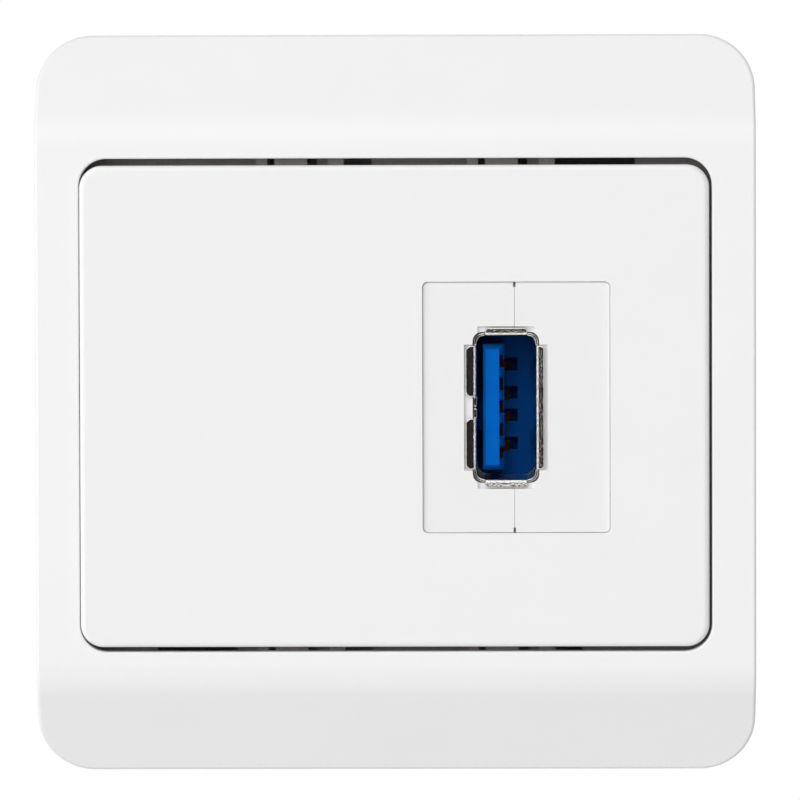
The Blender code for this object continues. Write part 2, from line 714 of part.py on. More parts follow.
def build_module_carrier():
    outline = rounded_outline(CARRIER_WIDTH, CARRIER_HEIGHT, CARRIER_CORNER_RADIUS, SMALL_CORNER_STEPS)
    carrier = place(prism(outline, CARRIER_BACK, CARRIER_FRONT), "module_carrier", CARRIER_GREY)

    tray = rounded_outline(TRAY_WIDTH, TRAY_HEIGHT, TRAY_RADIUS, SMALL_CORNER_STEPS)
    boolean(carrier, cutter(prism(tray, TRAY_BACK, CARRIER_FRONT + EMBED), "carrier_tray"), "UNION")
    hollow = rounded_outline(
        TRAY_WIDTH - 2 * TRAY_WALL,
        TRAY_HEIGHT - 2 * TRAY_WALL,
        TRAY_RADIUS,
        SMALL_CORNER_STEPS,
    )
    inside = prism(hollow, TRAY_BACK + CUT_OVERRUN, CARRIER_BACK)
    boolean(carrier, cutter(inside, "carrier_hollow"), "DIFFERENCE")

    guides = bmesh.new()
    inner_height = TRAY_HEIGHT - TRAY_WALL
    for side in (1, -1):
        near = COUPLER_X + side * WINDOW_WIDTH / 2
        ends = (near, near + side * GUIDE_RIB)
        span_y = (CARRIER_BACK - EMBED, TRAY_BACK - GUIDE_SHORTFALL)
        block((min(ends), max(ends)), span_y, around(0.0, inner_height), guides)
    boolean(carrier, cutter(guides, "carrier_guides"), "UNION")

    boss = rounded_outline(
        WINDOW_WIDTH + 2 * WINDOW_BORDER,
        WINDOW_HEIGHT + 2 * WINDOW_BORDER,
        WINDOW_BORDER,
        SMALL_CORNER_STEPS,
        (COUPLER_X, COUPLER_Z),
    )
    boolean(carrier, cutter(prism(boss, CARRIER_FRONT + EMBED, BOSS_FRONT), "carrier_boss"), "UNION")
    boolean(carrier, cutter(carrier_rib_form(), "carrier_ribs"), "UNION")
    boolean(carrier, cutter(carrier_back_form(), "carrier_posts"), "UNION")
    boolean(carrier, cutter(tray_hook_form(), "carrier_tray_hooks"), "UNION")

    window = rounded_outline(
        WINDOW_WIDTH,
        WINDOW_HEIGHT,
        WINDOW_RADIUS,
        SMALL_CORNER_STEPS,
        (COUPLER_X, COUPLER_Z),
    )
    through = prism(window, CARRIER_BACK + CUT_OVERRUN, BOSS_FRONT - CUT_OVERRUN)
    boolean(carrier, cutter(through, "carrier_window"), "DIFFERENCE")
    boolean(carrier, cutter(carrier_slot_form(), "carrier_slots"), "DIFFERENCE")
    hook_holes = plate_hook_form(SEAT_GAP, CARRIER_FRONT - CUT_OVERRUN)
    boolean(carrier, cutter(hook_holes, "carrier_hook_holes"), "DIFFERENCE")


# Support plate


def build_support_plate():
    outline = rounded_outline(SUPPORT_WIDTH, SUPPORT_HEIGHT, SUPPORT_RADIUS, SMALL_CORNER_STEPS)
    support = place(prism(outline, 0.0, SUPPORT_FRONT), "support_plate", ZINC_STEEL)

    tabs = bmesh.new()
    for side in (1, -1):
        inner = side * SUPPORT_WINDOW_WIDTH / 2
        ends = (inner, inner + side * SUPPORT_THICKNESS)
        span_y = (SUPPORT_FRONT - TAB_LENGTH, SUPPORT_FRONT / 2)
        block((min(ends), max(ends)), span_y, around(0.0, TAB_HEIGHT), tabs)
    boolean(support, cutter(tabs, "support_tabs"), "UNION")

    window = rounded_outline(SUPPORT_WINDOW_WIDTH, SUPPORT_WINDOW_HEIGHT, TRAY_RADIUS, SMALL_CORNER_STEPS)
    through = prism(window, CUT_OVERRUN, SUPPORT_FRONT - TAB_LENGTH - CUT_OVERRUN)
    boolean(support, cutter(through, "support_window"), "DIFFERENCE")

    span_y = (CUT_OVERRUN, SUPPORT_FRONT - CUT_OVERRUN)
    holes = bmesh.new()
    slot_z = SUPPORT_HEIGHT / 2 - SCREW_SLOT_FROM_EDGE
    for side in (1, -1):
        slot = rounded_outline(
            SCREW_SLOT_LENGTH,
            SCREW_SLOT_WIDTH,
            SCREW_SLOT_WIDTH / 2,
            centre=(0.0, side * slot_z),
        )
        prism(slot, *span_y, holes)
        for middle in around(0.0, PRONG_SPACING):
            hole = rounded_outline(
                PRONG_WIDTH + 2 * SEAT_GAP,
                PRONG_THICKNESS + 2 * SEAT_GAP,
                SEAT_GAP,
                SMALL_CORNER_STEPS,
                (middle, side * PRONG_Z),
            )
            prism(hole, *span_y, holes)
    boolean(support, cutter(holes, "support_holes"), "DIFFERENCE")


# Coupler, a clamshell in two halves


def coupler_form():
    """The coupler's long body, behind its face."""
    outline = rounded_outline(
        COUPLER_BODY_WIDTH,
        COUPLER_BODY_HEIGHT,
        COUPLER_BODY_RADIUS,
        SMALL_CORNER_STEPS,
        (COUPLER_X, COUPLER_Z),
    )
    return prism(outline, COUPLER_BACK, COUPLER_FACE_BACK - EMBED)


def coupler_face_form():
    """The coupler's face plate with its rounded rim."""
    outline = rounded_outline(
        COUPLER_FACE_WIDTH,
        COUPLER_FACE_HEIGHT,
        COUPLER_FACE_RADIUS,
        SMALL_CORNER_STEPS,
        (COUPLER_X, COUPLER_Z),
    )
    shape = prism(outline, COUPLER_FACE_BACK, COUPLER_FRONT)
    round_edges(shape, rim_edges(shape), COUPLER_EDGE_ROUND, COUPLER_EDGE_STEPS)
    return shape


def coupler_grip_form():
    """The latch arm above the body and the foot below it."""
    shape = bmesh.new()
    top = COUPLER_Z + COUPLER_BODY_HEIGHT / 2
    arm_low = top + LATCH_FREE_GAP
    arm_high = arm_low + LATCH_THICKNESS
    root_end = CATCH_FRONT + LATCH_LENGTH
    root_start = root_end - LATCH_ROOT_LENGTH
    arm = [
        (CATCH_FRONT, arm_low),
        (CATCH_FRONT, arm_high + LATCH_CATCH),
        (CATCH_FRONT + LATCH_CATCH_LENGTH, arm_high),
        (root_end, arm_high),
        (root_end, top - EMBED),
        (root_start, top - EMBED),
        (root_start, arm_low),
    ]
    side_prism(arm, *around(COUPLER_X, LATCH_WIDTH), shape)

    bottom = COUPLER_Z - COUPLER_BODY_HEIGHT / 2
    foot = [
        (COUPLER_FACE_BACK - EMBED, bottom + EMBED),
        (COUPLER_FACE_BACK - EMBED, bottom - FOOT_HEIGHT),
        (CATCH_FRONT, bottom - FOOT_HEIGHT),
        (CATCH_FRONT, bottom - FOOT_HEIGHT - FOOT_HOOK),
        (CATCH_FRONT + FOOT_HOOK_LENGTH, bottom - FOOT_HEIGHT - FOOT_HOOK),
        (CATCH_FRONT + FOOT_HOOK_LENGTH, bottom + EMBED),
    ]
    side_prism(foot, *around(COUPLER_X, LATCH_WIDTH), shape)
    return shape


def coupler_cavity_form():
    """The straight passage that holds both receptacles and the board."""
    outline = rounded_outline(
        CAVITY_WIDTH,
        CAVITY_HEIGHT,
        SHELL_BEND_RADIUS + SHELL_CLEARANCE,
        SMALL_CORNER_STEPS,
        (PORT_X, PORT_Z),
    )
    return prism(outline, COUPLER_BACK + CUT_OVERRUN, COUPLER_FRONT - CUT_OVERRUN)


def port_recess_form():
    """The shallow recesses round the two mouths, in which their lips lie."""
    end_x = LIP_END_LENGTH / 2 + PORT_RECESS_END_SPREAD
    side_x = SHELL_OUTER_WIDTH / 2 + LIP_OVERHANG_SIDES + PORT_RECESS_GAP
    side_z = LIP_SPLIT / 2 + LIP_LENGTH + PORT_RECESS_GAP
    end_z = SHELL_OUTER_HEIGHT / 2 + LIP_OVERHANG_ENDS + PORT_RECESS_GAP
    outline = cross_outline(side_x, side_z, end_x, end_z, (PORT_X, PORT_Z))
    shape = prism(outline, COUPLER_FRONT + PORT_RECESS_DEPTH, COUPLER_FRONT - CUT_OVERRUN)
    return prism(outline, COUPLER_BACK + CUT_OVERRUN, COUPLER_BACK - PORT_RECESS_DEPTH, shape)


def coupler_pocket_form():
    """Hollows between the ribs that carry the receptacles."""
    shape = bmesh.new()
    span_x = around(COUPLER_X, COUPLER_BODY_WIDTH - 2 * COUPLER_WALL)
    span_z = around(COUPLER_Z, COUPLER_BODY_HEIGHT - 2 * COUPLER_WALL)
    first = COUPLER_FACE_BACK
    board_room = COUPLER_MIDDLE - BOARD_LENGTH / 2
    step = (board_room - first) / COUPLER_POCKETS_PER_END
    for number in range(COUPLER_POCKETS_PER_END):
        start = first + number * step
        end = start + step - COUPLER_RIB
        block(span_x, (start, end), span_z, shape)
        block(span_x, (2 * COUPLER_MIDDLE - end, 2 * COUPLER_MIDDLE - start), span_z, shape)
    return shape


def seam_notch_form():
    """Small nicks where the seam meets the top and bottom of the face."""
    shape = bmesh.new()
    for side in (1, -1):
        edge = COUPLER_Z + side * COUPLER_FACE_HEIGHT / 2
        ends = (edge + side * CUT_OVERRUN, edge - side * SEAM_NOTCH_HEIGHT)
        span_y = (COUPLER_FRONT - CUT_OVERRUN, COUPLER_FRONT + SEAM_NOTCH_DEPTH)
        block(around(SEAM_X, SEAM_NOTCH_WIDTH), span_y, (min(ends), max(ends)), shape)
    return shape


def beyond_seam_form(side):
    """All that lies past the seam of one half: the seam has a step, so that the halves overlap."""
    shift = side * SEAM_GAP / 2
    step_y = COUPLER_FRONT + SEAM_STEP_DEPTH + shift
    front_x = SEAM_X + shift
    back_x = front_x - SEAM_STEP
    far_x = SEAM_X - side * (COUPLER_FACE_WIDTH + CUT_OVERRUN)
    profile = [
        (front_x, COUPLER_FRONT - CUT_OVERRUN),
        (front_x, step_y),
        (back_x, step_y),
        (back_x, COUPLER_BACK + CUT_OVERRUN),
        (far_x, COUPLER_BACK + CUT_OVERRUN),
        (far_x, COUPLER_FRONT - CUT_OVERRUN),
    ]
    return plan_prism(profile, *around(COUPLER_Z, COUPLER_FACE_HEIGHT + 2 * CUT_OVERRUN))


def build_coupler_halves():
    face = cutter(coupler_face_form(), "coupler_face")
    grip = cutter(coupler_grip_form(), "coupler_grip")
    pockets = cutter(coupler_pocket_form(), "coupler_pockets")
    cavity = cutter(coupler_cavity_form(), "coupler_cavity")
    recess = cutter(port_recess_form(), "coupler_port_recess")
    notches = cutter(seam_notch_form(), "coupler_seam_notches")
    for name, side in (("left", -1), ("right", 1)):
        half = place(coupler_form(), "coupler_half_" + name, COUPLER_WHITE)
        away = cutter(beyond_seam_form(side), "coupler_beyond_seam_" + name)
        boolean(half, face, "UNION")
        boolean(half, grip, "UNION")
        boolean(half, pockets, "DIFFERENCE")
        boolean(half, cavity, "DIFFERENCE")
        boolean(half, recess, "DIFFERENCE")
        boolean(half, notches, "DIFFERENCE")
        boolean(half, away, "DIFFERENCE")


# Receptacles


def put_in_both_ports(piece, name):
    """Set a finished receptacle piece in the front port, and its twin in the rear one."""
    piece.name = "front_" + name
    twin = bpy.data.objects.new("rear_" + name, piece.data)
    parts.objects.link(twin)
    height = piece.location.z
    piece.location = (PORT_X, MOUTH_FRONT_Y, PORT_Z + height)
    twin.rotation_euler = (math.pi, 0.0, 0.0)
    twin.location = (PORT_X, MOUTH_REAR_Y, PORT_Z - height)


def shell_section():
    """Mid-line of the folded shell from one side of its seam round to the other."""
    half_x = (MOUTH_WIDTH + SHELL_THICKNESS) / 2
    half_z = (MOUTH_HEIGHT + SHELL_THICKNESS) / 2
    finger_low = FINGER_CENTRE_Z - FINGER_WIDTH / 2
    finger_high = FINGER_CENTRE_Z + FINGER_WIDTH / 2
    side_stops = (
        LIP_SPLIT / 2,
        finger_low - FINGER_SLOT,
        finger_low,
        finger_high,
        finger_high + FINGER_SLOT,
        LIP_SPLIT / 2 + LIP_LENGTH,
    )
    outline = rounded_outline(2 * half_x, 2 * half_z, SHELL_BEND_RADIUS, SMALL_CORNER_STEPS)
    arc = SMALL_CORNER_STEPS + 1
    corners = [outline[start:start + arc] for start in range(0, len(outline), arc)]
    top_right, top_left, low_left, low_right = corners
    end_stops = (LIP_END_LENGTH / 2, -LIP_END_LENGTH / 2)
    points = [(-half_x, -SHELL_SEAM / 2)]
    points += [(-half_x, -stop) for stop in side_stops]
    points += low_left
    points += [(-stop, -half_z) for stop in end_stops]
    points += low_right
    points += [(half_x, -stop) for stop in reversed(side_stops)]
    points += [(half_x, stop) for stop in side_stops]
    points += top_right
    points += [(stop, half_z) for stop in end_stops]
    points += top_left
    points += [(-half_x, stop) for stop in reversed(side_stops)]
    points += [(-half_x, SHELL_SEAM / 2)]
    return points


def shell_depths():
    """Depths of the rings of the shell, close together along the spring fingers."""
    straight = lip_forward(LIP_REACH_TONGUE_SIDE)
    depths = [straight, FINGER_START]
    depths += [FINGER_START + FINGER_LENGTH * step / FINGER_STEPS for step in range(1, FINGER_STEPS + 1)]
    depths += [FINGER_START + FINGER_LENGTH + FINGER_SLOT, SHELL_LENGTH]
    return depths


def lip_forward(reach):
    """How far a lip stands forward of its bend when it reaches out by a distance."""
    bend_out = LIP_BEND_RADIUS * (1 - math.cos(LIP_ANGLE))
    bend_on = LIP_BEND_RADIUS * math.sin(LIP_ANGLE)
    return bend_on + (reach - bend_out) / math.tan(LIP_ANGLE)


def grow_lip(shape, edges, outward, reach):
    """Fold a lip forward and out from the mouth's edge, and clip its outer corners."""
    steps = []
    for step in range(1, LIP_STEPS + 1):
        angle = LIP_ANGLE * step / LIP_STEPS
        steps.append((LIP_BEND_RADIUS * math.sin(angle), LIP_BEND_RADIUS * (1 - math.cos(angle))))
    clip_start = max(reach - LIP_CORNER, (steps[-1][1] + reach) / 2)
    steps.append((lip_forward(clip_start), clip_start))
    steps.append((lip_forward(reach), reach))
    last = (0.0, 0.0)
    for forward, out in steps:
        grown = bmesh.ops.extrude_edge_only(shape, edges=edges)
        move = (outward[0] * (out - last[1]), last[0] - forward, outward[1] * (out - last[1]))
        bmesh.ops.translate(shape, verts=new_verts(grown), vec=move)
        edges = [item for item in grown["geom"] if isinstance(item, bmesh.types.BMEdge)]
        last = (forward, out)
    along = 0 if outward[0] == 0 else 2
    ends = sorted(new_verts(grown), key=lambda vert: vert.co[along])
    ends[0].co[along] += reach - clip_start
    ends[-1].co[along] -= reach - clip_start


def in_finger_slot(x, y, z):
    """Whether a face of the shell lies in the slot cut round a spring finger."""
    half_x = (MOUTH_WIDTH + SHELL_THICKNESS) / 2
    if abs(x) < half_x - FINE_GAP:
        return False
    if not FINGER_START < y < FINGER_START + FINGER_LENGTH + FINGER_SLOT:
        return False
    across = abs(abs(z) - FINGER_CENTRE_Z)
    beside = FINGER_WIDTH / 2 < across < FINGER_WIDTH / 2 + FINGER_SLOT
    beyond = y > FINGER_START + FINGER_LENGTH and across < FINGER_WIDTH / 2 + FINGER_SLOT
    return beside or beyond


def build_shells():
    shape = bmesh.new()
    depths = shell_depths()
    section = shell_section()
    rings = [[shape.verts.new((x, depth, z)) for x, z in section] for depth in depths]
    for ring, behind in zip(rings, rings[1:]):
        for index in range(len(section) - 1):
            corners = (ring[index], ring[index + 1], behind[index + 1], behind[index])
            middle = [sum(vert.co[axis] for vert in corners) / len(corners) for axis in range(3)]
            if not in_finger_slot(*middle):
                shape.faces.new(corners)

    for vert in shape.verts:
        along = (vert.co.y - FINGER_START) / FINGER_LENGTH
        on_finger = abs(abs(vert.co.z) - FINGER_CENTRE_Z) < FINGER_WIDTH / 2 + FINE_GAP
        on_side = abs(vert.co.x) > MOUTH_WIDTH / 2
        if on_finger and on_side and 0.0 < along < 1.0 + FINE_GAP / FINGER_LENGTH:
            vert.co.x -= math.copysign(FINGER_BEND * math.sin(along * FINGER_TURN), vert.co.x)

    half_x = (MOUTH_WIDTH + SHELL_THICKNESS) / 2
    half_z = (MOUTH_HEIGHT + SHELL_THICKNESS) / 2
    lip_far = LIP_SPLIT / 2 + LIP_LENGTH

    def mouth_edges(test):
        found = []
        for edge in shape.edges:
            if all(abs(vert.co.y - depths[0]) < FINE_GAP / 2 for vert in edge.verts):
                middle = (edge.verts[0].co + edge.verts[1].co) / 2
                if test(middle):
                    found.append(edge)
        return found

    def on_side(side, low, high):
        return lambda point: side * point.x > half_x - FINE_GAP and low < point.z < high

    def on_end(side):
        return lambda point: side * point.z > half_z - FINE_GAP and abs(point.x) < LIP_END_LENGTH / 2

    lips = (
        ((-1.0, 0.0), LIP_REACH_TONGUE_SIDE, on_side(-1, LIP_SPLIT / 2, lip_far)),
        ((-1.0, 0.0), LIP_REACH_TONGUE_SIDE, on_side(-1, -lip_far, -LIP_SPLIT / 2)),
        ((1.0, 0.0), LIP_REACH_OPEN_SIDE, on_side(1, -lip_far, lip_far)),
        ((0.0, 1.0), LIP_REACH_ENDS, on_end(1)),
        ((0.0, -1.0), LIP_REACH_ENDS, on_end(-1)),
    )
    for outward, reach, test in lips:
        grow_lip(shape, mouth_edges(test), outward, reach)
    bmesh.ops.delete(shape, geom=[vert for vert in shape.verts if not vert.link_faces], context="VERTS")
    bmesh.ops.recalc_face_normals(shape, faces=shape.faces)

    shell = place(shape, "shell", NICKEL_STEEL)
    sheet = shell.modifiers.new("sheet_thickness", "SOLIDIFY")
    sheet.thickness = SHELL_THICKNESS
    sheet.offset = 0.0
    sheet.use_even_offset = True
    settle(shell)
    put_in_both_ports(shell, "shell")


def contact_heights():
    """Heights of the four plain contacts, from the lowest."""
    pairs = (CONTACT_SPACING_INNER / 2, CONTACT_SPACING_OUTER / 2)
    return sorted([side * place_z for place_z in pairs for side in (1, -1)])


def fast_heights():
    """Heights of the five fast contacts, from the lowest."""
    return [(number - (FAST_COUNT - 1) / 2) * FAST_PITCH for number in range(FAST_COUNT)]


def fast_channel(clearance):
    """Plan of the room for a fast contact: through the base and the tongue, to its tip."""
    half = FAST_THICKNESS / 2 + clearance
    return [
        (TONGUE_BACK_X - CUT_OVERRUN, FAST_CROSS - half),
        (TONGUE_BACK_X - CUT_OVERRUN, BASE_FACE),
        (FAST_BACK_X - half, BASE_FACE),
        (FAST_BACK_X - half, BASE_BACK + CUT_OVERRUN),
        (FAST_BACK_X + half, BASE_BACK + CUT_OVERRUN),
        (FAST_BACK_X + half, FAST_CROSS + half),
        (TONGUE_FACE_X + CUT_OVERRUN, FAST_CROSS + half),
        (TONGUE_FACE_X + CUT_OVERRUN, TONGUE_SETBACK - CUT_OVERRUN),
        (FAST_PAD_X - half, TONGUE_SETBACK - CUT_OVERRUN),
        (FAST_PAD_X - half, FAST_CROSS - half),
    ]


def tongue_form():
    """The tongue, tapered at its tip on all four sides."""
    def section(back_taper, taper):
        low, high = TONGUE_BACK_X + back_taper, TONGUE_FACE_X - taper
        half = TONGUE_WIDTH / 2 - taper
        return [(low, -half), (high, -half), (high, half), (low, half)]
    return loft([
        (section(0.0, 0.0), BASE_FACE + EMBED),
        (section(0.0, 0.0), TONGUE_SETBACK + TONGUE_CHAMFER),
        (section(TONGUE_BACK_CHAMFER, TONGUE_CHAMFER), TONGUE_SETBACK),
    ])


def build_insulators():
    outline = rounded_outline(
        MOUTH_WIDTH - 2 * FINE_GAP,
        MOUTH_HEIGHT - 2 * FINE_GAP,
        SHELL_BEND_RADIUS,
        SMALL_CORNER_STEPS,
    )
    insulator = place(prism(outline, BASE_BACK, BASE_FACE), "insulator", BLUE_PBT)
    boolean(insulator, cutter(tongue_form(), "tongue"), "UNION")

    slots = bmesh.new()
    groove_floor = CONTACT_X - CONTACT_THICKNESS / 2 - FINE_GAP
    tail_room = CONTACT_THICKNESS + 2 * FINE_GAP
    for height in contact_heights():
        slot = [
            (groove_floor, CONTACT_START - FINE_GAP),
            (TONGUE_FACE_X + CUT_OVERRUN, CONTACT_START - FINE_GAP),
            (TONGUE_FACE_X + CUT_OVERRUN, BASE_FACE - CUT_OVERRUN),
            (groove_floor + BASE_SLOT_WIDTH, BASE_FACE - CUT_OVERRUN),
            (groove_floor + BASE_SLOT_WIDTH, BASE_FACE + BASE_SLOT_DEPTH),
            (groove_floor + tail_room, BASE_FACE + BASE_SLOT_DEPTH),
            (groove_floor + tail_room, BASE_BACK + CUT_OVERRUN),
            (groove_floor, BASE_BACK + CUT_OVERRUN),
        ]
        plan_prism(slot, *around(height, BASE_SLOT_HEIGHT), slots)
    boolean(insulator, cutter(slots, "contact_slots"), "DIFFERENCE")

    channels = bmesh.new()
    notches = bmesh.new()
    notch_x = (FAST_PAD_X - FAST_THICKNESS / 2 - FINE_GAP, TONGUE_FACE_X + CUT_OVERRUN)
    notch_y = (TONGUE_SETBACK - CUT_OVERRUN, TONGUE_SETBACK + FAST_NOTCH_LENGTH)
    for height in fast_heights():
        plan_prism(fast_channel(FINE_GAP), *around(height, FAST_WIDTH + 2 * FINE_GAP), channels)
        block(notch_x, notch_y, around(height, FAST_NOTCH_HEIGHT), notches)
    boolean(insulator, cutter(channels, "fast_contact_channels"), "DIFFERENCE")
    boolean(insulator, cutter(notches, "fast_contact_notches"), "DIFFERENCE")
    settle(insulator)
    put_in_both_ports(insulator, "insulator")


def strip(path, width, thickness, name):
    """A flat metal strip along a path of X and depth points, as wide as given along Z."""
    shape = bmesh.new()
    verts = [shape.verts.new((x, y, -width / 2)) for x, y in path]
    edges = [shape.edges.new(pair) for pair in zip(verts, verts[1:])]
    grown = bmesh.ops.extrude_edge_only(shape, edges=edges)
    bmesh.ops.translate(shape, verts=new_verts(grown), vec=(0.0, 0.0, width))
    bmesh.ops.recalc_face_normals(shape, faces=shape.faces)
    piece = place(shape, name, CONTACT_ALLOY)
    sheet = piece.modifiers.new("sheet_thickness", "SOLIDIFY")
    sheet.thickness = thickness
    sheet.offset = 0.0
    sheet.use_even_offset = True
    settle(piece)
    return piece


def spread_contacts(pattern, heights, name):
    """Copies of one contact at each height, in both ports."""
    for number, height in enumerate(heights, start=1):
        piece = bpy.data.objects.new(name, pattern.data)
        parts.objects.link(piece)
        piece.location.z = height
        put_in_both_ports(piece, name + "_" + str(number))
    bpy.data.objects.remove(pattern, do_unlink=True)


def build_contacts():
    path = [(CONTACT_X, CONTACT_START)]
    for step in range(1, CONTACT_BULGE_STEPS + 1):
        share = step / CONTACT_BULGE_STEPS
        rise = CONTACT_BULGE * (1 - math.cos(share * math.tau)) / 2
        path.append((CONTACT_X + rise, CONTACT_START + CONTACT_BULGE_LENGTH * share))
    path += [(CONTACT_X, BASE_FACE), (CONTACT_X, TAIL_END)]
    plain = strip(path, CONTACT_WIDTH, CONTACT_THICKNESS, "contact_pattern")
    spread_contacts(plain, contact_heights(), "contact")

    path = [
        (FAST_PAD_X, FAST_PAD_START),
        (FAST_PAD_X, FAST_CROSS),
        (FAST_BACK_X, FAST_CROSS),
        (FAST_BACK_X, TAIL_END),
    ]
    fast = strip(path, FAST_WIDTH, FAST_THICKNESS, "fast_contact_pattern")
    spread_contacts(fast, fast_heights(), "fast_contact")


# Circuit board


def build_board():
    height = CAVITY_HEIGHT - 2 * BOARD_EDGE_GAP
    span_x = (PORT_X + BOARD_FACE_TONGUE_SIDE, PORT_X + BOARD_FACE_OPEN_SIDE)
    board = place(
        block(span_x, around(COUPLER_MIDDLE, BOARD_LENGTH), around(PORT_Z, height)),
        "coupler_board",
        BOARD_GREEN,
    )
    holes = bmesh.new()
    for middle in around(PORT_Z, BOARD_HOLE_SPACING):
        turned = []
        for step in range(BOARD_HOLE_SIDES):
            angle = step / BOARD_HOLE_SIDES * math.tau
            turned.append((
                COUPLER_MIDDLE + BOARD_HOLE_RADIUS * math.cos(angle),
                middle + BOARD_HOLE_RADIUS * math.sin(angle),
            ))
        side_prism(turned, span_x[0] - CUT_OVERRUN, span_x[1] + CUT_OVERRUN, holes)
    boolean(board, cutter(holes, "board_holes"), "DIFFERENCE")


build_surround_frame()
build_cover_plate()
build_module_carrier()
build_support_plate()
build_coupler_halves()
build_shells()
build_insulators()
build_contacts()
build_board()
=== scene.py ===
"""Finish and setting of a wall data socket with a USB-A coupler.

The socket faces -Y and the wall is the plane y = 0. Every length is in metres.
"""

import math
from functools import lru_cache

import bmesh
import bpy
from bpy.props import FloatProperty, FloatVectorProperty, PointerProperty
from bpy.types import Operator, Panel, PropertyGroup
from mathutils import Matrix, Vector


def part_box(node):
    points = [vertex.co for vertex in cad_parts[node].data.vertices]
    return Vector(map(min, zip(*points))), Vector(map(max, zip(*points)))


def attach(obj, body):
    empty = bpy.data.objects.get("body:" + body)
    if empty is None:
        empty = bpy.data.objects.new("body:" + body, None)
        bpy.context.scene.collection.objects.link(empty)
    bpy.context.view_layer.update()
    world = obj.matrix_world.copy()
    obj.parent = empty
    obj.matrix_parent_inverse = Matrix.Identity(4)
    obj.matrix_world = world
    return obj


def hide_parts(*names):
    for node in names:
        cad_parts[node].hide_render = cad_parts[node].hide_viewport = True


bl_info = {
    "name": "USB Data Socket",
    "version": (1, 0, 0),
    "blender": (4, 5, 0),
    "location": "View3D > Sidebar > Socket",
    "description": "Models the mouldings, pressings and finishes of a wall data socket",
    "category": "Object",
}

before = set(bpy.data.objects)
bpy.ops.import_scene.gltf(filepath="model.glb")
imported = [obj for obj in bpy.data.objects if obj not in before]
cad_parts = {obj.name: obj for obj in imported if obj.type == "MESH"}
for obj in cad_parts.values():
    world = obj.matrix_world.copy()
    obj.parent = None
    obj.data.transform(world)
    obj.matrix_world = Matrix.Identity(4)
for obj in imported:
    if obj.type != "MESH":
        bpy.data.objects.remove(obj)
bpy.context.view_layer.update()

MM = 0.001
TOUCH = 0.01 * MM
OVERRUN = 1.0 * MM
BODY = "root"

# How a normal's depth tells a front face from a side wall
FRONT_FACING = -0.3
SIDE_FACING = 0.05

# Largest angle at which neighbouring faces still count as one flat face
FLATNESS = math.radians(0.3)

# Weight at which the largest faces decide how an edge is shaded
LARGEST_FIRST = 100


@lru_cache
def span(node):
    """Lowest and highest corner of a node, as vectors."""
    low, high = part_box(node)
    return Vector(low), Vector(high)


def size_of(node):
    """Width, depth and height of a node."""
    low, high = span(node)
    return high - low


# Sizes and colours that a user may change


def length(name, description, millimetres):
    """A length property whose default is given in millimetres."""
    return FloatProperty(
        name=name,
        description=description,
        default=millimetres * MM,
        unit="LENGTH",
        precision=5,
    )


def linear(hex_colour):
    """A linear RGBA colour from an sRGB hex value."""
    channels = [int(hex_colour[start:start + 2], 16) / 255 for start in (1, 3, 5)]
    values = [c / 12.92 if c <= 0.04045 else ((c + 0.055) / 1.055) ** 2.4 for c in channels]
    return (*values, 1.0)


def tint(name, description, hex_colour):
    """A colour property whose default is an sRGB hex value."""
    return FloatVectorProperty(
        name=name,
        description=description,
        subtype="COLOR",
        size=4,
        min=0.0,
        max=1.0,
        default=linear(hex_colour),
    )


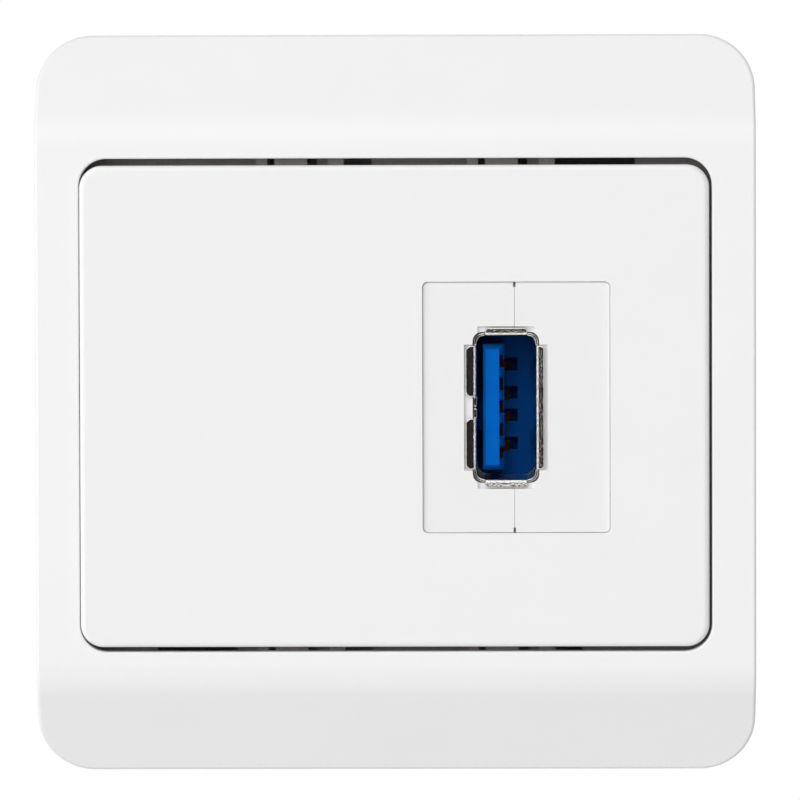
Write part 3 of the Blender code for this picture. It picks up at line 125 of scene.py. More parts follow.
class SocketSizes(PropertyGroup):
    """Sizes of the mouldings, their fits and the small rounds."""

    frame_wall: length("Frame wall", "Thickness of the surround frame's wall", 1.8)
    frame_corner: length("Frame corner", "Radius of the frame's outer corners", 4.8)
    frame_slope: length("Frame slope", "Height of the bands that slope back above and below", 8.3)
    frame_edge: length("Frame edge", "How far the bands' outer edges stand off the wall", 4.0)
    frame_bend: length("Frame bend", "Half height of the soft bend between the flat front and a band", 1.5)
    frame_round: length("Frame edge round", "Radius of the frame's outer front edge", 0.3)
    opening_width: length("Opening width", "Width of the frame's opening", 55.3)
    opening_height: length("Opening height", "Height of the frame's opening", 43.15)
    opening_corner: length("Opening corner", "Radius of the opening's corners", 2.4)
    opening_round: length("Opening edge round", "Radius of the opening's front edge", 0.18)
    prong_width: length("Prong width", "Width of the prongs behind the frame's bands", 4.0)
    prong_thickness: length("Prong thickness", "Thickness of the prongs", 1.6)
    prong_spacing: length("Prong spacing", "Distance between the two prongs of a band", 38.0)
    prong_inset: length("Prong inset", "Distance of the prongs from the frame's end", 6.9)
    prong_barb: length("Prong barb", "Reach of the barb on a prong", 0.7)
    prong_seat: length("Prong seat", "Where the barbs start behind the wall plane", 0.3)
    plate_thickness: length("Plate thickness", "Thickness of the cover plate's face", 1.8)
    plate_corner: length("Plate corner", "Radius of the cover plate's corners", 2.0)
    plate_round: length("Plate edge round", "Radius of the cover plate's front edge", 0.5)
    plate_skirt: length("Plate skirt", "Depth of the skirt behind the cover plate's face", 0.5)
    plate_skirt_wall: length("Plate skirt wall", "Wall of the skirt behind the cover plate's edge", 1.1)
    hook_width: length("Hook width", "Width of the cover plate's hooks", 3.0)
    hook_thickness: length("Hook thickness", "Thickness of the cover plate's hooks", 1.2)
    hook_spacing: length("Hook spacing", "Distance between the two hooks of an edge", 44.0)
    hook_inset: length("Hook inset", "Distance of the hooks from the cover plate's edge", 3.5)
    hook_barb: length("Hook barb", "Reach of the barb on a hook", 0.5)
    hook_barb_length: length("Hook barb length", "Length of the barb on a hook", 1.2)
    face_gap: length("Face gap", "Gap between the cover plate and the coupler's face", 0.02)
    seam_draw: length("Seam draw", "How far each coupler half is drawn in at the seam of the face", 0.019)
    seam_reach: length("Seam reach", "How near the seam a half's face must lie to be drawn in", 0.07)
    face_corner: length("Face corner", "Radius of the coupler face's corners", 0.45)
    hole_round: length("Hole edge round", "Radius of the edge of the hole for the coupler", 0.03)
    eased_edge: length("Eased edge", "Small round on the support plate's edges", 0.05)
    carrier_edge: length("Carrier edge", "Small round on the carrier's edges", 0.02)
    fine_edge: length("Fine edge", "Small round on the coupler's and the board's edges", 0.03)
    small_edge: length("Small edge", "Small round on the contacts' edges", 0.03)
    crisp_edge: length("Crisp edge", "Small round on the insulators' edges", 0.01)
    sheared_edge: length("Sheared edge", "Round of the shell's cut edges", 0.1)
    insulator_fit: length("Insulator fit", "How far the insulator's base is pushed out to the shell", 0.06)
    tip_chamfer: length("Tip chamfer", "Depth of the chamfer round the tongue's tip", 0.44)
    rib_slope: length("Rib slope", "How much further the ribs beside the tongue's notches slope back", 0.68)


class SocketColours(PropertyGroup):
    """Colours of the materials."""

    frame_white: tint("Frame", "White of the surround frame", "#F4F4F4")
    plate_white: tint("Cover plate", "White of the cover plate", "#F2F2F2")
    coupler_white: tint("Coupler", "White of the coupler's two halves", "#F0F0F0")
    carrier_grey: tint("Carrier", "Grey of the moulded carrier", "#A8A09D")
    zinc: tint("Zinc", "Grey of the zinc-plated support plate", "#B4B4B2")
    nickel: tint("Nickel", "Grey of the nickel-plated shell", "#E4E0DA")
    blue: tint("Blue", "Blue of the tongue and its base", "#005FBA")
    contact: tint("Contact", "Colour of the gold-flashed contacts", "#B4764A")
    # Darker than the gilt contacts: painted shade for the fast contacts deep in the tongue's notches
    painted_shade_fast_contact: tint("Fast contact", "Colour of the bare contacts in the tongue's notches", "#40291A")
    laminate: tint("Board", "Green of the coated board", "#1C6B3A")


# Modelling


def up_to_date():
    """The scene with every modifier worked out."""
    return bpy.context.evaluated_depsgraph_get()


def new_verts(result):
    """The vertices in an operator's result."""
    return [item for item in result["geom"] if isinstance(item, bmesh.types.BMVert)]


def upright_panel(width, height, radius, steps, centre=(0.0, 0.0), depth=0.0):
    """A single upright face with round corners, seen from the front."""
    shape = bmesh.new()
    bmesh.ops.create_grid(shape, x_segments=1, y_segments=1, size=0.5)
    bmesh.ops.scale(shape, verts=shape.verts, vec=(width, height, 1.0))
    bmesh.ops.bevel(
        shape,
        geom=shape.verts[:],
        offset=radius,
        offset_type="OFFSET",
        segments=steps,
        profile=0.5,
        affect="VERTICES",
        material=-1,
    )
    turn = Matrix.Rotation(math.pi / 2, 3, "X")
    bmesh.ops.rotate(shape, verts=shape.verts, cent=(0.0, 0.0, 0.0), matrix=turn)
    bmesh.ops.translate(shape, verts=shape.verts, vec=(centre[0], depth, centre[1]))
    return shape


def thicken(shape, depth):
    """Draw a panel backwards into a closed slab."""
    drawn = bmesh.ops.extrude_face_region(shape, geom=shape.faces[:])
    bmesh.ops.translate(shape, verts=new_verts(drawn), vec=(0.0, depth, 0.0))
    bmesh.ops.recalc_face_normals(shape, faces=shape.faces)
    return shape


def slab(width, height, radius, steps, centre, front, back):
    """A closed slab with round corners between two depths."""
    return thicken(upright_panel(width, height, radius, steps, centre, front), back - front)


def add_block(shape, size):
    """Add a block at the origin and give its vertices."""
    verts = bmesh.ops.create_cube(shape, size=1.0)["verts"]
    bmesh.ops.scale(shape, verts=verts, vec=size)
    return verts


def cut_along(shape, place, direction):
    """Cut new edges where a plane crosses the shape."""
    everything = shape.verts[:] + shape.edges[:] + shape.faces[:]
    bmesh.ops.bisect_plane(shape, geom=everything, plane_co=place, plane_no=direction)


def round_edges(shape, edges, radius, steps):
    """Round edges to a radius."""
    bmesh.ops.bevel(
        shape,
        geom=edges,
        offset=radius,
        offset_type="OFFSET",
        segments=steps,
        profile=0.5,
        affect="EDGES",
        material=-1,
    )


def front_rim(shape):
    """Edges between the front faces and the side walls."""
    found = []
    for edge in shape.edges:
        depths = sorted(face.normal.y for face in edge.link_faces)
        if len(depths) == 2 and depths[0] < FRONT_FACING and abs(depths[1]) < SIDE_FACING:
            found.append(edge)
    return found


def rim_at(shape, depth):
    """The part of the front rim that lies at one depth."""
    return [edge for edge in front_rim(shape) if all(abs(vert.co.y - depth) < TOUCH for vert in edge.verts)]


def carve(body, tool, operation="DIFFERENCE"):
    """The body with the tool cut from it, or joined to it."""
    pair = []
    for shape in (body, tool):
        mesh = bpy.data.meshes.new("carving")
        shape.to_mesh(mesh)
        shape.free()
        pair.append(bpy.data.objects.new("carving", mesh))
        bpy.context.scene.collection.objects.link(pair[-1])
    step = pair[0].modifiers.new("carve", "BOOLEAN")
    step.operation = operation
    step.object = pair[1]
    step.use_self = operation == "UNION"
    made = bmesh.new()
    made.from_object(pair[0], up_to_date())
    for item in pair:
        bpy.data.meshes.remove(item.data)
    return made


def merged_copy(node):
    """A closed copy of a node's mesh, with its flat faces whole again."""
    shape = bmesh.new()
    shape.from_mesh(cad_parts[node].data)
    bmesh.ops.remove_doubles(shape, verts=shape.verts, dist=TOUCH / 10)
    bmesh.ops.dissolve_limit(
        shape,
        angle_limit=FLATNESS,
        verts=shape.verts,
        edges=shape.edges,
        use_dissolve_boundaries=False,
    )
    return shape


def finish_piece(shape, name, node, material, ease=0.0, steps=2, smooth=35.0):
    """Make a bmesh a piece of the socket that stands for a node, with its flat faces shaded flat."""
    mesh = bpy.data.meshes.new(name)
    shape.to_mesh(mesh)
    shape.free()
    mesh.shade_smooth()
    mesh.set_sharp_from_angle(angle=math.radians(smooth))
    mesh.materials.append(material)
    piece = bpy.data.objects.new(name, mesh)
    bpy.context.scene.collection.objects.link(piece)
    if ease:
        round_off = piece.modifiers.new("eased_edges", "BEVEL")
        round_off.width = ease
        round_off.segments = steps
        round_off.limit_method = "ANGLE"
        round_off.angle_limit = math.radians(smooth)
        round_off.use_clamp_overlap = False
    even_out = piece.modifiers.new("even_faces", "WEIGHTED_NORMAL")
    even_out.keep_sharp = True
    even_out.weight = LARGEST_FIRST
    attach(piece, BODY)
    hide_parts(node)
    return piece


# Materials


def add_node(tree, kind, settings=None, links=None):
    """Add a shader node, set its values and link its inputs."""
    node = tree.nodes.new("ShaderNode" + kind)
    for key, value in (settings or {}).items():
        if isinstance(key, int) or key in node.inputs:
            node.inputs[key].default_value = value
        else:
            setattr(node, key, value)
    for key, source in (links or {}).items():
        tree.links.new(source, node.inputs[key])
    return node


def start_material(name, **values):
    """A new material with its shader's own sockets set."""
    material = bpy.data.materials.new(name)
    material.use_nodes = True
    tree = material.node_tree
    shader = tree.nodes["Principled BSDF"]
    for key, value in values.items():
        socket = key.replace("_", " ").title().replace("Ior", "IOR")
        shader.inputs[socket].default_value = value
    place = add_node(tree, "TexCoord").outputs["Object"]
    return material, tree, shader, place


def shade_of(colour, share):
    """A colour made darker or lighter by a share."""
    return (*[min(channel * share, 1.0) for channel in colour[:3]], 1.0)


def vary_colour(tree, shader, colours, amount):
    """Blend two colours over the surface by a pattern."""
    blend = add_node(
        tree,
        "Mix",
        {"data_type": "RGBA", 6: colours[0], 7: colours[1]},
        {0: amount},
    )
    tree.links.new(blend.outputs[2], shader.inputs["Base Color"])


def vary_roughness(tree, shader, low, high, amount):
    """Let the gloss change over the surface by a pattern."""
    spread = add_node(tree, "MapRange", {"To Min": low, "To Max": high}, {"Value": amount})
    tree.links.new(spread.outputs["Result"], shader.inputs["Roughness"])


def raise_surface(tree, shader, height, depth, strength=1.0):
    """Give the surface a fine relief."""
    bump = add_node(tree, "Bump", {"Strength": strength, "Distance": depth}, {"Height": height})
    tree.links.new(bump.outputs["Normal"], shader.inputs["Normal"])


def grains_per_metre(millimetres):
    """Scale of a noise whose grains are about this far apart."""
    return 1.0 / (millimetres * MM)


def moulded_white(name, colour, roughness, grain, depth):
    """White ABS from a spark-eroded mould: an even matt skin with hardly any grain."""
    material, tree, shader, place = start_material(name, ior=1.5)
    flow = add_node(tree, "TexNoise", {"Scale": grains_per_metre(9.0), "Detail": 2.0}, {"Vector": place})
    skin = add_node(tree, "TexNoise", {"Scale": grains_per_metre(grain), "Detail": 3.0}, {"Vector": place})
    vary_colour(tree, shader, (shade_of(colour, 0.985), shade_of(colour, 1.01)), flow.outputs["Fac"])
    vary_roughness(tree, shader, roughness - 0.04, roughness + 0.04, skin.outputs["Fac"])
    raise_surface(tree, shader, skin.outputs["Fac"], depth)
    return material


def glass_filled_nylon(name, colour):
    """Grey nylon with glass fibre: dull, with pale flecks of fibre at its skin."""
    material, tree, shader, place = start_material(name, ior=1.53)
    stretched = add_node(tree, "Mapping", {"Scale": (1.0, 1.0, 0.35)}, {"Vector": place})
    fibre = add_node(
        tree,
        "TexNoise",
        {"Scale": grains_per_metre(0.25), "Detail": 4.0, "Roughness": 0.65},
        {"Vector": stretched.outputs["Vector"]},
    )
    vary_colour(tree, shader, (shade_of(colour, 0.8), shade_of(colour, 1.3)), fibre.outputs["Fac"])
    vary_roughness(tree, shader, 0.5, 0.7, fibre.outputs["Fac"])
    raise_surface(tree, shader, fibre.outputs["Fac"], 0.01 * MM)
    return material


def zinc_sheet(name, colour):
    """Zinc-plated steel sheet: soft grey gloss with fine streaks from rolling."""
    material, tree, shader, place = start_material(name, metallic=1.0)
    rolled = add_node(tree, "Mapping", {"Scale": (0.04, 1.0, 1.0)}, {"Vector": place})
    streak = add_node(
        tree,
        "TexNoise",
        {"Scale": grains_per_metre(0.2), "Detail": 4.0},
        {"Vector": rolled.outputs["Vector"]},
    )
    cloud = add_node(tree, "TexNoise", {"Scale": grains_per_metre(5.0), "Detail": 3.0}, {"Vector": place})
    vary_colour(tree, shader, (shade_of(colour, 0.82), shade_of(colour, 1.08)), cloud.outputs["Fac"])
    vary_roughness(tree, shader, 0.28, 0.46, streak.outputs["Fac"])
    raise_surface(tree, shader, streak.outputs["Fac"], 0.006 * MM)
    return material


def nickel_sheet(name, colour):
    """Nickel-plated steel strip, cut and folded: bright bends and a peppery grain on its flats."""
    material, tree, shader, place = start_material(name, metallic=1.0)
    pepper = add_node(
        tree,
        "TexNoise",
        {"Scale": grains_per_metre(0.18), "Detail": 2.0},
        {"Vector": place},
    )
    contrast = add_node(
        tree,
        "MapRange",
        {"From Min": 0.36, "From Max": 0.62},
        {"Value": pepper.outputs["Fac"]},
    )
    vary_colour(tree, shader, (shade_of(colour, 0.66), shade_of(colour, 1.16)), contrast.outputs["Result"])
    vary_roughness(tree, shader, 0.18, 0.11, contrast.outputs["Result"])
    raise_surface(tree, shader, pepper.outputs["Fac"], 0.03 * MM)
    return material


def blue_polyester(name, colour):
    """Blue PBT, moulded smooth: a deep even blue with a soft sheen."""
    material, tree, shader, place = start_material(name, ior=1.5, specular_ior_level=0.04)
    flow = add_node(tree, "TexNoise", {"Scale": grains_per_metre(1.6), "Detail": 3.0}, {"Vector": place})
    skin = add_node(tree, "TexNoise", {"Scale": grains_per_metre(0.12), "Detail": 2.0}, {"Vector": place})
    vary_colour(tree, shader, (shade_of(colour, 0.9), shade_of(colour, 1.1)), flow.outputs["Fac"])
    vary_roughness(tree, shader, 0.34, 0.46, skin.outputs["Fac"])
    raise_surface(tree, shader, skin.outputs["Fac"], 0.004 * MM)
    return material


def bronze_strip(name, colour):
    """Bronze strip flashed with gold, or a darker copy whose colour is painted shade: warm, and browner in
    the patches that have dulled.
    """
    material, tree, shader, place = start_material(name, metallic=1.0)
    dulled = add_node(tree, "TexNoise", {"Scale": grains_per_metre(0.4), "Detail": 4.0}, {"Vector": place})
    vary_colour(tree, shader, (shade_of(colour, 0.6), shade_of(colour, 1.1)), dulled.outputs["Fac"])
    vary_roughness(tree, shader, 0.4, 0.6, dulled.outputs["Fac"])
    return material


def coated_laminate(name, colour):
    """Glass-cloth laminate under green lacquer: glossy, with the cloth's weave just showing."""
    material, tree, shader, place = start_material(name, ior=1.5)
    thread = {"Scale": grains_per_metre(3.0)}
    warp = add_node(tree, "TexWave", {**thread, "bands_direction": "Z"}, {"Vector": place})
    weft = add_node(tree, "TexWave", {**thread, "bands_direction": "Y"}, {"Vector": place})
    weave = add_node(
        tree,
        "Math",
        {"operation": "MULTIPLY"},
        {0: warp.outputs["Fac"], 1: weft.outputs["Fac"]},
    )
    vary_colour(tree, shader, (shade_of(colour, 0.8), shade_of(colour, 1.15)), weave.outputs["Value"])
    vary_roughness(tree, shader, 0.22, 0.32, weave.outputs["Value"])
    return material


# Operators, one for each piece or group of like pieces


class SocketOperator:
    """What the socket's operators share."""

    bl_options = {"REGISTER", "UNDO"}

    def execute(self, context):
        self.build(context.scene.socket_sizes, context.scene.socket_colours)
        return {"FINISHED"}


class SOCKET_OT_frame(SocketOperator, Operator):
    """Model the surround frame, with its sloping bands and four barbed prongs"""

    bl_idname = "socket.frame"
    bl_label = "Surround Frame"

    corner_steps = 24
    bend_steps = 14
    rim_steps = 6
    opening_steps = 4

    def slope(self, sizes):
        """How far a band falls back for each unit of height."""
        depth = -span("surround_frame")[0].y
        return (depth - sizes.frame_edge) / sizes.frame_slope

    def bend_height(self, sizes, inset):
        """Height of the bend's middle, at a depth below the skin."""
        slope = self.slope(sizes)
        shift = inset * (math.sqrt(1 + slope * slope) - 1) / slope
        return span("surround_frame")[1].z - sizes.frame_slope - shift

    def front(self, sizes, height, inset):
        """Depth of the front at a height, or of a surface inset below it."""
        past = abs(height) - self.bend_height(sizes, inset)
        flat = span("surround_frame")[0].y + inset
        half = sizes.frame_bend
        if past <= -half:
            return flat
        if past >= half:
            return flat + self.slope(sizes) * past
        return flat + self.slope(sizes) * (past + half) ** 2 / (4 * half)

    def form(self, sizes, inset, back):
        """The outer form, or the hollow in it when inset by the wall."""
        width, _, height = size_of("surround_frame")
        front = span("surround_frame")[0].y
        shape = slab(
            width - 2 * inset,
            height - 2 * inset,
            sizes.frame_corner - inset,
            self.corner_steps,
            (0.0, 0.0),
            front,
            back,
        )
        for step in range(self.bend_steps + 1):
            level = self.bend_height(sizes, inset) + sizes.frame_bend * (2 * step / self.bend_steps - 1)
            for side in (1, -1):
                cut_along(shape, (0.0, 0.0, side * level), (0.0, 0.0, 1.0))
        for vert in shape.verts:
            if vert.co.y < front + TOUCH:
                vert.co.y = self.front(sizes, vert.co.z, inset)
        bmesh.ops.recalc_face_normals(shape, faces=shape.faces)
        return shape

    def round_rim(self, sizes, shape):
        """Round the front edge, and keep the corners within the frame's width."""
        half = size_of("surround_frame").x / 2
        round_edges(shape, front_rim(shape), sizes.frame_round, self.rim_steps)
        for vert in shape.verts:
            vert.co.x = min(max(vert.co.x, -half), half)

    def build(self, sizes, colours):
        front = span("surround_frame")[0].y
        shape = self.form(sizes, 0.0, 0.0)
        self.round_rim(sizes, shape)
        shape = carve(shape, self.form(sizes, sizes.frame_wall, OVERRUN))
        hole = slab(
            sizes.opening_width,
            sizes.opening_height,
            sizes.opening_corner,
            self.corner_steps,
            (0.0, 0.0),
            front - OVERRUN,
            OVERRUN,
        )
        shape = carve(shape, hole)
        round_edges(shape, rim_at(shape, front), sizes.opening_round, self.opening_steps)
        shape = carve(shape, self.prongs(sizes), "UNION")
        finish_piece(
            shape,
            "frame_moulding",
            "surround_frame",
            moulded_white("white_abs_frame", colours.frame_white, 0.46, 0.14, 0.005 * MM),
        )

    def prongs(self, sizes):
        """Four prongs with a barb behind the support plate."""
        middle = span("surround_frame")[1].z - sizes.prong_inset
        tip = span("surround_frame")[1].y
        root = self.front(sizes, middle, sizes.frame_wall / 2)
        shape = bmesh.new()
        for side in (1, -1):
            for across in (-sizes.prong_spacing / 2, sizes.prong_spacing / 2):
                leg = add_block(shape, (sizes.prong_width, tip - root, sizes.prong_thickness))
                bmesh.ops.translate(shape, verts=leg, vec=(across, (tip + root) / 2, side * middle))
                self.add_barb(sizes, shape, across, side, middle + sizes.prong_thickness / 2, tip)
        return shape

    def add_barb(self, sizes, shape, across, side, face, tip):
        """A wedge on a prong's outer face: square at the front, tapering to the tip."""
        barb = add_block(shape, (sizes.prong_width, tip - sizes.prong_seat, 2 * sizes.prong_barb))
        middle = (across, (tip + sizes.prong_seat) / 2, side * face)
        bmesh.ops.translate(shape, verts=barb, vec=middle)
        for vert in barb:
            if vert.co.y > tip - TOUCH and abs(vert.co.z) > face:
                vert.co.z = side * face


class SOCKET_OT_plate(SocketOperator, Operator):
    """Model the cover plate, with its soft edge, its skirt and the hole for the coupler"""

    bl_idname = "socket.plate"
    bl_label = "Cover Plate"

    corner_steps = 20
    rim_steps = 7
    inner_steps = 8
    hole_steps = 3

    def build(self, sizes, colours):
        low, high = span("cover_plate")
        face_low, face_high = self.coupler_face()
        centre = ((low.x + high.x) / 2, (low.z + high.z) / 2)
        width, height = high.x - low.x, high.z - low.z
        back = low.y + sizes.plate_thickness
        skirt_back = back + sizes.plate_skirt
        shape = slab(width, height, sizes.plate_corner, self.corner_steps, centre, low.y, skirt_back)
        round_edges(shape, front_rim(shape), sizes.plate_round, self.rim_steps)
        pocket = slab(
            width - 2 * sizes.plate_skirt_wall,
            height - 2 * sizes.plate_skirt_wall,
            sizes.plate_corner - sizes.plate_skirt_wall,
            self.inner_steps,
            centre,
            back,
            skirt_back + OVERRUN,
        )
        shape = carve(shape, pocket)
        hole_width = face_high.x - face_low.x + 2 * sizes.face_gap
        hole_height = face_high.z - face_low.z + 2 * sizes.face_gap
        hole_centre = ((face_low.x + face_high.x) / 2, (face_low.z + face_high.z) / 2)
        hole = slab(
            hole_width,
            hole_height,
            sizes.face_corner + sizes.face_gap,
            self.inner_steps,
            hole_centre,
            low.y - OVERRUN,
            skirt_back + OVERRUN,
        )
        shape = carve(shape, hole)
        round_edges(shape, rim_at(shape, low.y), sizes.hole_round, self.hole_steps)
        shape = carve(shape, self.hooks(sizes, centre, height, back, high.y), "UNION")
        finish_piece(
            shape,
            "plate_moulding",
            "cover_plate",
            moulded_white("white_abs_plate", colours.plate_white, 0.42, 0.14, 0.004 * MM),
        )

    def coupler_face(self):
        """Corners of the coupler's face, across its two halves."""
        left_low, left_high = span("coupler_half_left")
        return left_low, Vector((span("coupler_half_right")[1].x, left_high.y, left_high.z))

    def hooks(self, sizes, centre, height, back, tip):
        """Four hooks behind the plate that grip the carrier."""
        shape = bmesh.new()
        root = back - sizes.plate_skirt
        leg = height / 2 - sizes.hook_inset - sizes.hook_thickness / 2
        for side in (1, -1):
            inner = centre[1] + side * (leg - sizes.hook_thickness / 2)
            for across in (centre[0] - sizes.hook_spacing / 2, centre[0] + sizes.hook_spacing / 2):
                stem = add_block(shape, (sizes.hook_width, tip - root, sizes.hook_thickness))
                bmesh.ops.translate(shape, verts=stem, vec=(across, (tip + root) / 2, centre[1] + side * leg))
                barb = add_block(shape, (sizes.hook_width, sizes.hook_barb_length, 2 * sizes.hook_barb))
                bmesh.ops.translate(shape, verts=barb, vec=(across, tip - sizes.hook_barb_length / 2, inner))
                for vert in barb:
                    if vert.co.y > tip - TOUCH and side * vert.co.z < side * inner:
                        vert.co.z = inner
        return shape


class SOCKET_OT_carrier(SocketOperator, Operator):
    """Finish the moulded carrier behind the cover plate"""

    bl_idname = "socket.carrier"
    bl_label = "Module Carrier"

    def build(self, sizes, colours):
        finish_piece(
            merged_copy("module_carrier"),
            "carrier_moulding",
            "module_carrier",
            glass_filled_nylon("glass_filled_nylon", colours.carrier_grey),
            ease=sizes.carrier_edge,
        )


class SOCKET_OT_support(SocketOperator, Operator):
    """Finish the stamped support plate"""

    bl_idname = "socket.support"
    bl_label = "Support Plate"

    def build(self, sizes, colours):
        finish_piece(
            merged_copy("support_plate"),
            "support_pressing",
            "support_plate",
            zinc_sheet("zinc_plated_steel", colours.zinc),
            ease=sizes.eased_edge,
        )


class SOCKET_OT_coupler(SocketOperator, Operator):
    """Finish the two halves of the coupler's body"""

    bl_idname = "socket.coupler"
    bl_label = "Coupler Halves"

    def build(self, sizes, colours):
        white = moulded_white("white_abs_coupler", colours.coupler_white, 0.36, 0.1, 0.003 * MM)
        for side, inwards in (("left", 1), ("right", -1)):
            node = "coupler_half_" + side
            shape = merged_copy(node)
            self.draw_in(sizes, shape, inwards)
            finish_piece(
                shape,
                "coupler_moulding_" + side,
                node,
                white,
                ease=sizes.fine_edge,
            )

    def draw_in(self, sizes, shape, inwards):
        """Move the faces that lie near the seam a little towards the other half."""
        seam = span("coupler_half_left")[1].x
        for vert in shape.verts:
            if abs(vert.co.x - seam) < sizes.seam_reach:
                vert.co.x += inwards * sizes.seam_draw


class SOCKET_OT_shells(SocketOperator, Operator):
    """Finish the folded metal shells of the two receptacles, with their lips and spring fingers"""

    bl_idname = "socket.shells"
    bl_label = "Receptacle Shells"

    def build(self, sizes, colours):
        nickel = nickel_sheet("nickel_plated_steel", colours.nickel)
        for end in ("front", "rear"):
            node = end + "_shell"
            finish_piece(
                merged_copy(node),
                end + "_shell_pressing",
                node,
                nickel,
                ease=sizes.sheared_edge,
                steps=3,
            )


class SOCKET_OT_insulators(SocketOperator, Operator):
    """Finish the blue insulators with their tongues"""

    bl_idname = "socket.insulators"
    bl_label = "Insulators"

    def build(self, sizes, colours):
        blue = blue_polyester("blue_pbt", colours.blue)
        for end, inwards in (("front", 1), ("rear", -1)):
            node = end + "_insulator"
            shape = merged_copy(node)
            self.fit_to_shell(sizes, shape, node)
            self.slope_ribs(sizes, shape, node, inwards)
            finish_piece(
                shape,
                end + "_insulator_moulding",
                node,
                blue,
                ease=sizes.crisp_edge,
            )

    def fit_to_shell(self, sizes, shape, node):
        """Push the base's outer faces out to the shell, as the pressed-in part sits."""
        low, high = span(node)
        for vert in shape.verts:
            for axis in (0, 2):
                if vert.co[axis] < low[axis] + TOUCH:
                    vert.co[axis] -= sizes.insulator_fit
                if vert.co[axis] > high[axis] - TOUCH:
                    vert.co[axis] += sizes.insulator_fit

    def slope_ribs(self, sizes, shape, node, inwards):
        """Slope the ribs between the notches further back, which leaves them in the tongue's shade."""
        tip = span(node)[0].y if inwards > 0 else span(node)[1].y
        level = tip + inwards * sizes.tip_chamfer
        rim = [vert for vert in shape.verts if abs(vert.co.y - level) < TOUCH]
        side = max(vert.co.x for vert in rim)
        for vert in rim:
            if vert.co.x > side - TOUCH:
                vert.co.y += inwards * sizes.rib_slope


class SOCKET_OT_contacts(SocketOperator, Operator):
    """Finish the contacts of both receptacles"""

    bl_idname = "socket.contacts"
    bl_label = "Contacts"

    def build(self, sizes, colours):
        gilt = bronze_strip("gold_flashed_bronze", colours.contact)
        # The fast contacts get a darker bronze, which is painted shade for their place deep in the tongue's
        # notches
        shade_painted = bronze_strip("bronze_with_painted_shade", colours.painted_shade_fast_contact)
        for node in sorted(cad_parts):
            if "contact" in node:
                metal = shade_painted if "fast" in node else gilt
                strip = merged_copy(node)
                finish_piece(strip, node + "_strip", node, metal, ease=sizes.small_edge)


class SOCKET_OT_board(SocketOperator, Operator):
    """Finish the board between the receptacles"""

    bl_idname = "socket.board"
    bl_label = "Coupler Board"

    def build(self, sizes, colours):
        finish_piece(
            merged_copy("coupler_board"),
            "board_laminate",
            "coupler_board",
            coated_laminate("coated_laminate", colours.laminate),
            ease=sizes.fine_edge,
        )


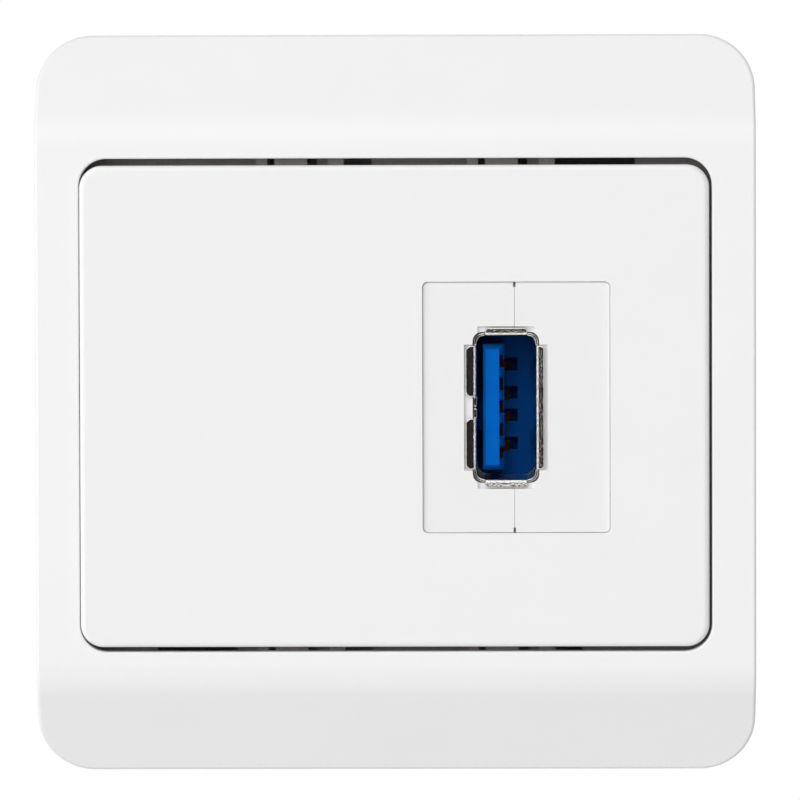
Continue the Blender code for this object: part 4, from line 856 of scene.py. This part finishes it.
class SOCKET_OT_stage(SocketOperator, Operator):
    """Set the floor, the lamps and the camera"""

    bl_idname = "socket.stage"
    bl_label = "Stage"

    world_share = 0.42
    floor_level = -0.7
    floor_half_width = 3.0
    floor_colour = "#E8E8E8"
    floor_glow = 0.55
    card_left, card_right = -0.67, 1.2
    card_down, card_up = -0.74, 0.42
    card_depth = -0.8
    card_corner, card_steps = 0.05, 4
    card_colour = "#303030"
    softbox_distance, softbox_width = 2.0, 1.33
    left_direction, left_share = (-48.0, 5.0), 0.36
    upper_direction, upper_share = (-12.0, 24.0), 0.385
    overhead_distance, overhead_width = 0.92, 1.2
    overhead_direction, overhead_share = (0.0, 68.0), 0.24

    def build(self, sizes, colours):
        self.set_world()
        self.lay_floor()
        self.stand_card()
        self.hang_lamps()
        self.place_camera()

    def seen_directly(self, tree):
        """1 for rays from the camera and for those that gloss or glass sends on."""
        rays = add_node(tree, "LightPath")
        first = add_node(
            tree,
            "Math",
            {"operation": "MAXIMUM"},
            {0: rays.outputs["Is Camera Ray"], 1: rays.outputs["Is Glossy Ray"]},
        )
        both = add_node(
            tree,
            "Math",
            {"operation": "MAXIMUM"},
            {0: first.outputs["Value"], 1: rays.outputs["Is Transmission Ray"]},
        )
        return both.outputs["Value"]

    def set_world(self):
        """A white world, dimmer as a light than it looks."""
        world = bpy.data.worlds.new("pale_studio")
        world.use_nodes = True
        tree = world.node_tree
        level = add_node(
            tree,
            "MapRange",
            {"To Min": self.world_share, "To Max": 1.0},
            {"Value": self.seen_directly(tree)},
        )
        tree.links.new(level.outputs["Result"], tree.nodes["Background"].inputs["Strength"])
        tree.nodes["Background"].inputs["Color"].default_value = (1.0, 1.0, 1.0, 1.0)
        world.cycles.sampling_method = "NONE"
        bpy.context.scene.world = world

    def lay_floor(self):
        """A pale floor well below the socket."""
        shape = bmesh.new()
        bmesh.ops.create_grid(shape, x_segments=1, y_segments=1, size=self.floor_half_width)
        bmesh.ops.translate(shape, verts=shape.verts, vec=(0.0, 0.0, self.floor_level))
        mesh = bpy.data.meshes.new("floor")
        shape.to_mesh(mesh)
        shape.free()
        floor = bpy.data.objects.new("floor", mesh)
        bpy.context.scene.collection.objects.link(floor)
        material, tree, shader, _ = start_material("pale_floor", roughness=0.9)
        shader.inputs["Base Color"].default_value = linear(self.floor_colour)
        glow = add_node(
            tree,
            "MapRange",
            {"To Min": 0.0, "To Max": self.floor_glow},
            {"Value": self.seen_directly(tree)},
        )
        shader.inputs["Emission Color"].default_value = (1.0, 1.0, 1.0, 1.0)
        tree.links.new(glow.outputs["Result"], shader.inputs["Emission Strength"])
        mesh.materials.append(material)

    def stand_card(self):
        """A dark card behind the camera, which only glossy surfaces show."""
        width = self.card_right - self.card_left
        height = self.card_up - self.card_down
        middle = ((self.card_left + self.card_right) / 2, (self.card_down + self.card_up) / 2)
        shape = upright_panel(width, height, self.card_corner, self.card_steps, middle, self.card_depth)
        mesh = bpy.data.meshes.new("dark_card")
        shape.to_mesh(mesh)
        shape.free()
        card = bpy.data.objects.new("dark_card", mesh)
        bpy.context.scene.collection.objects.link(card)
        card.visible_camera = False
        card.visible_diffuse = False
        card.visible_shadow = False
        card.visible_transmission = False
        material, tree, shader, _ = start_material("dark_felt", roughness=1.0)
        shader.inputs["Base Color"].default_value = linear(self.card_colour)
        mesh.materials.append(material)

    def hang_lamps(self):
        """Two large softboxes for the light, and a panel overhead that only glossy surfaces show."""
        softbox = (self.softbox_distance, self.softbox_width)
        panel = (self.overhead_distance, self.overhead_width)
        self.hang_lamp("left_softbox", self.left_direction, softbox, self.left_share, False)
        self.hang_lamp("upper_softbox", self.upper_direction, softbox, self.upper_share, False)
        self.hang_lamp("overhead_panel", self.overhead_direction, panel, self.overhead_share, True)

    def hang_lamp(self, name, direction, place, share, mirrored):
        """A square lamp that lights a white surface facing it by a share of full white."""
        distance, width = place
        across, up = (math.radians(angle) for angle in direction)
        lamp = bpy.data.lights.new(name, "AREA")
        lamp.shape = "SQUARE"
        lamp.size = width
        lamp.energy = share * math.pi ** 2 * distance ** 2
        holder = bpy.data.objects.new(name, lamp)
        bpy.context.scene.collection.objects.link(holder)
        holder.visible_glossy = mirrored
        holder.visible_diffuse = not mirrored
        away = Vector((math.sin(across) * math.cos(up), -math.cos(across) * math.cos(up), math.sin(up)))
        holder.location = away * distance
        holder.rotation_euler = away.to_track_quat("Z", "Y").to_euler()

    def place_camera(self):
        """The view: nearly square on, a little from the right and from above, with a long lens."""
        image_pixels, sensor = 800, 36.0
        eye = Vector((10.11, -660.0, 25.32)) * MM
        aim = Vector((0.40, -10.0, 0.46)) * MM
        focal_pixels = 7445.9
        lean = math.radians(-0.15)
        lens = bpy.data.cameras.new("camera")
        lens.sensor_width = sensor
        lens.lens = focal_pixels * sensor / image_pixels
        lens.clip_start = 0.01
        camera = bpy.data.objects.new("camera", lens)
        bpy.context.scene.collection.objects.link(camera)
        camera.location = eye
        look = (aim - eye).to_track_quat("-Z", "Y").to_matrix()
        camera.rotation_euler = (look @ Matrix.Rotation(lean, 3, "Z")).to_euler()
        bpy.context.scene.camera = camera
        bpy.context.scene.view_settings.view_transform = "Standard"


PIECES = (
    SOCKET_OT_frame,
    SOCKET_OT_plate,
    SOCKET_OT_carrier,
    SOCKET_OT_support,
    SOCKET_OT_coupler,
    SOCKET_OT_shells,
    SOCKET_OT_insulators,
    SOCKET_OT_contacts,
    SOCKET_OT_board,
    SOCKET_OT_stage,
)


class SOCKET_PT_panel(Panel):
    """Buttons for the socket's pieces and its stage"""

    bl_label = "USB Data Socket"
    bl_idname = "SOCKET_PT_panel"
    bl_space_type = "VIEW_3D"
    bl_region_type = "UI"
    bl_category = "Socket"

    def draw(self, context):
        for piece in PIECES:
            self.layout.operator(piece.bl_idname)


CLASSES = (SocketSizes, SocketColours, *PIECES, SOCKET_PT_panel)


def register():
    for item in CLASSES:
        bpy.utils.register_class(item)
    bpy.types.Scene.socket_sizes = PointerProperty(type=SocketSizes)
    bpy.types.Scene.socket_colours = PointerProperty(type=SocketColours)


def unregister():
    del bpy.types.Scene.socket_colours
    del bpy.types.Scene.socket_sizes
    for item in reversed(CLASSES):
        bpy.utils.unregister_class(item)


def main():
    register()
    for piece in PIECES:
        group, name = piece.bl_idname.split(".")
        getattr(getattr(bpy.ops, group), name)()


if __name__ == "__main__":
    main()
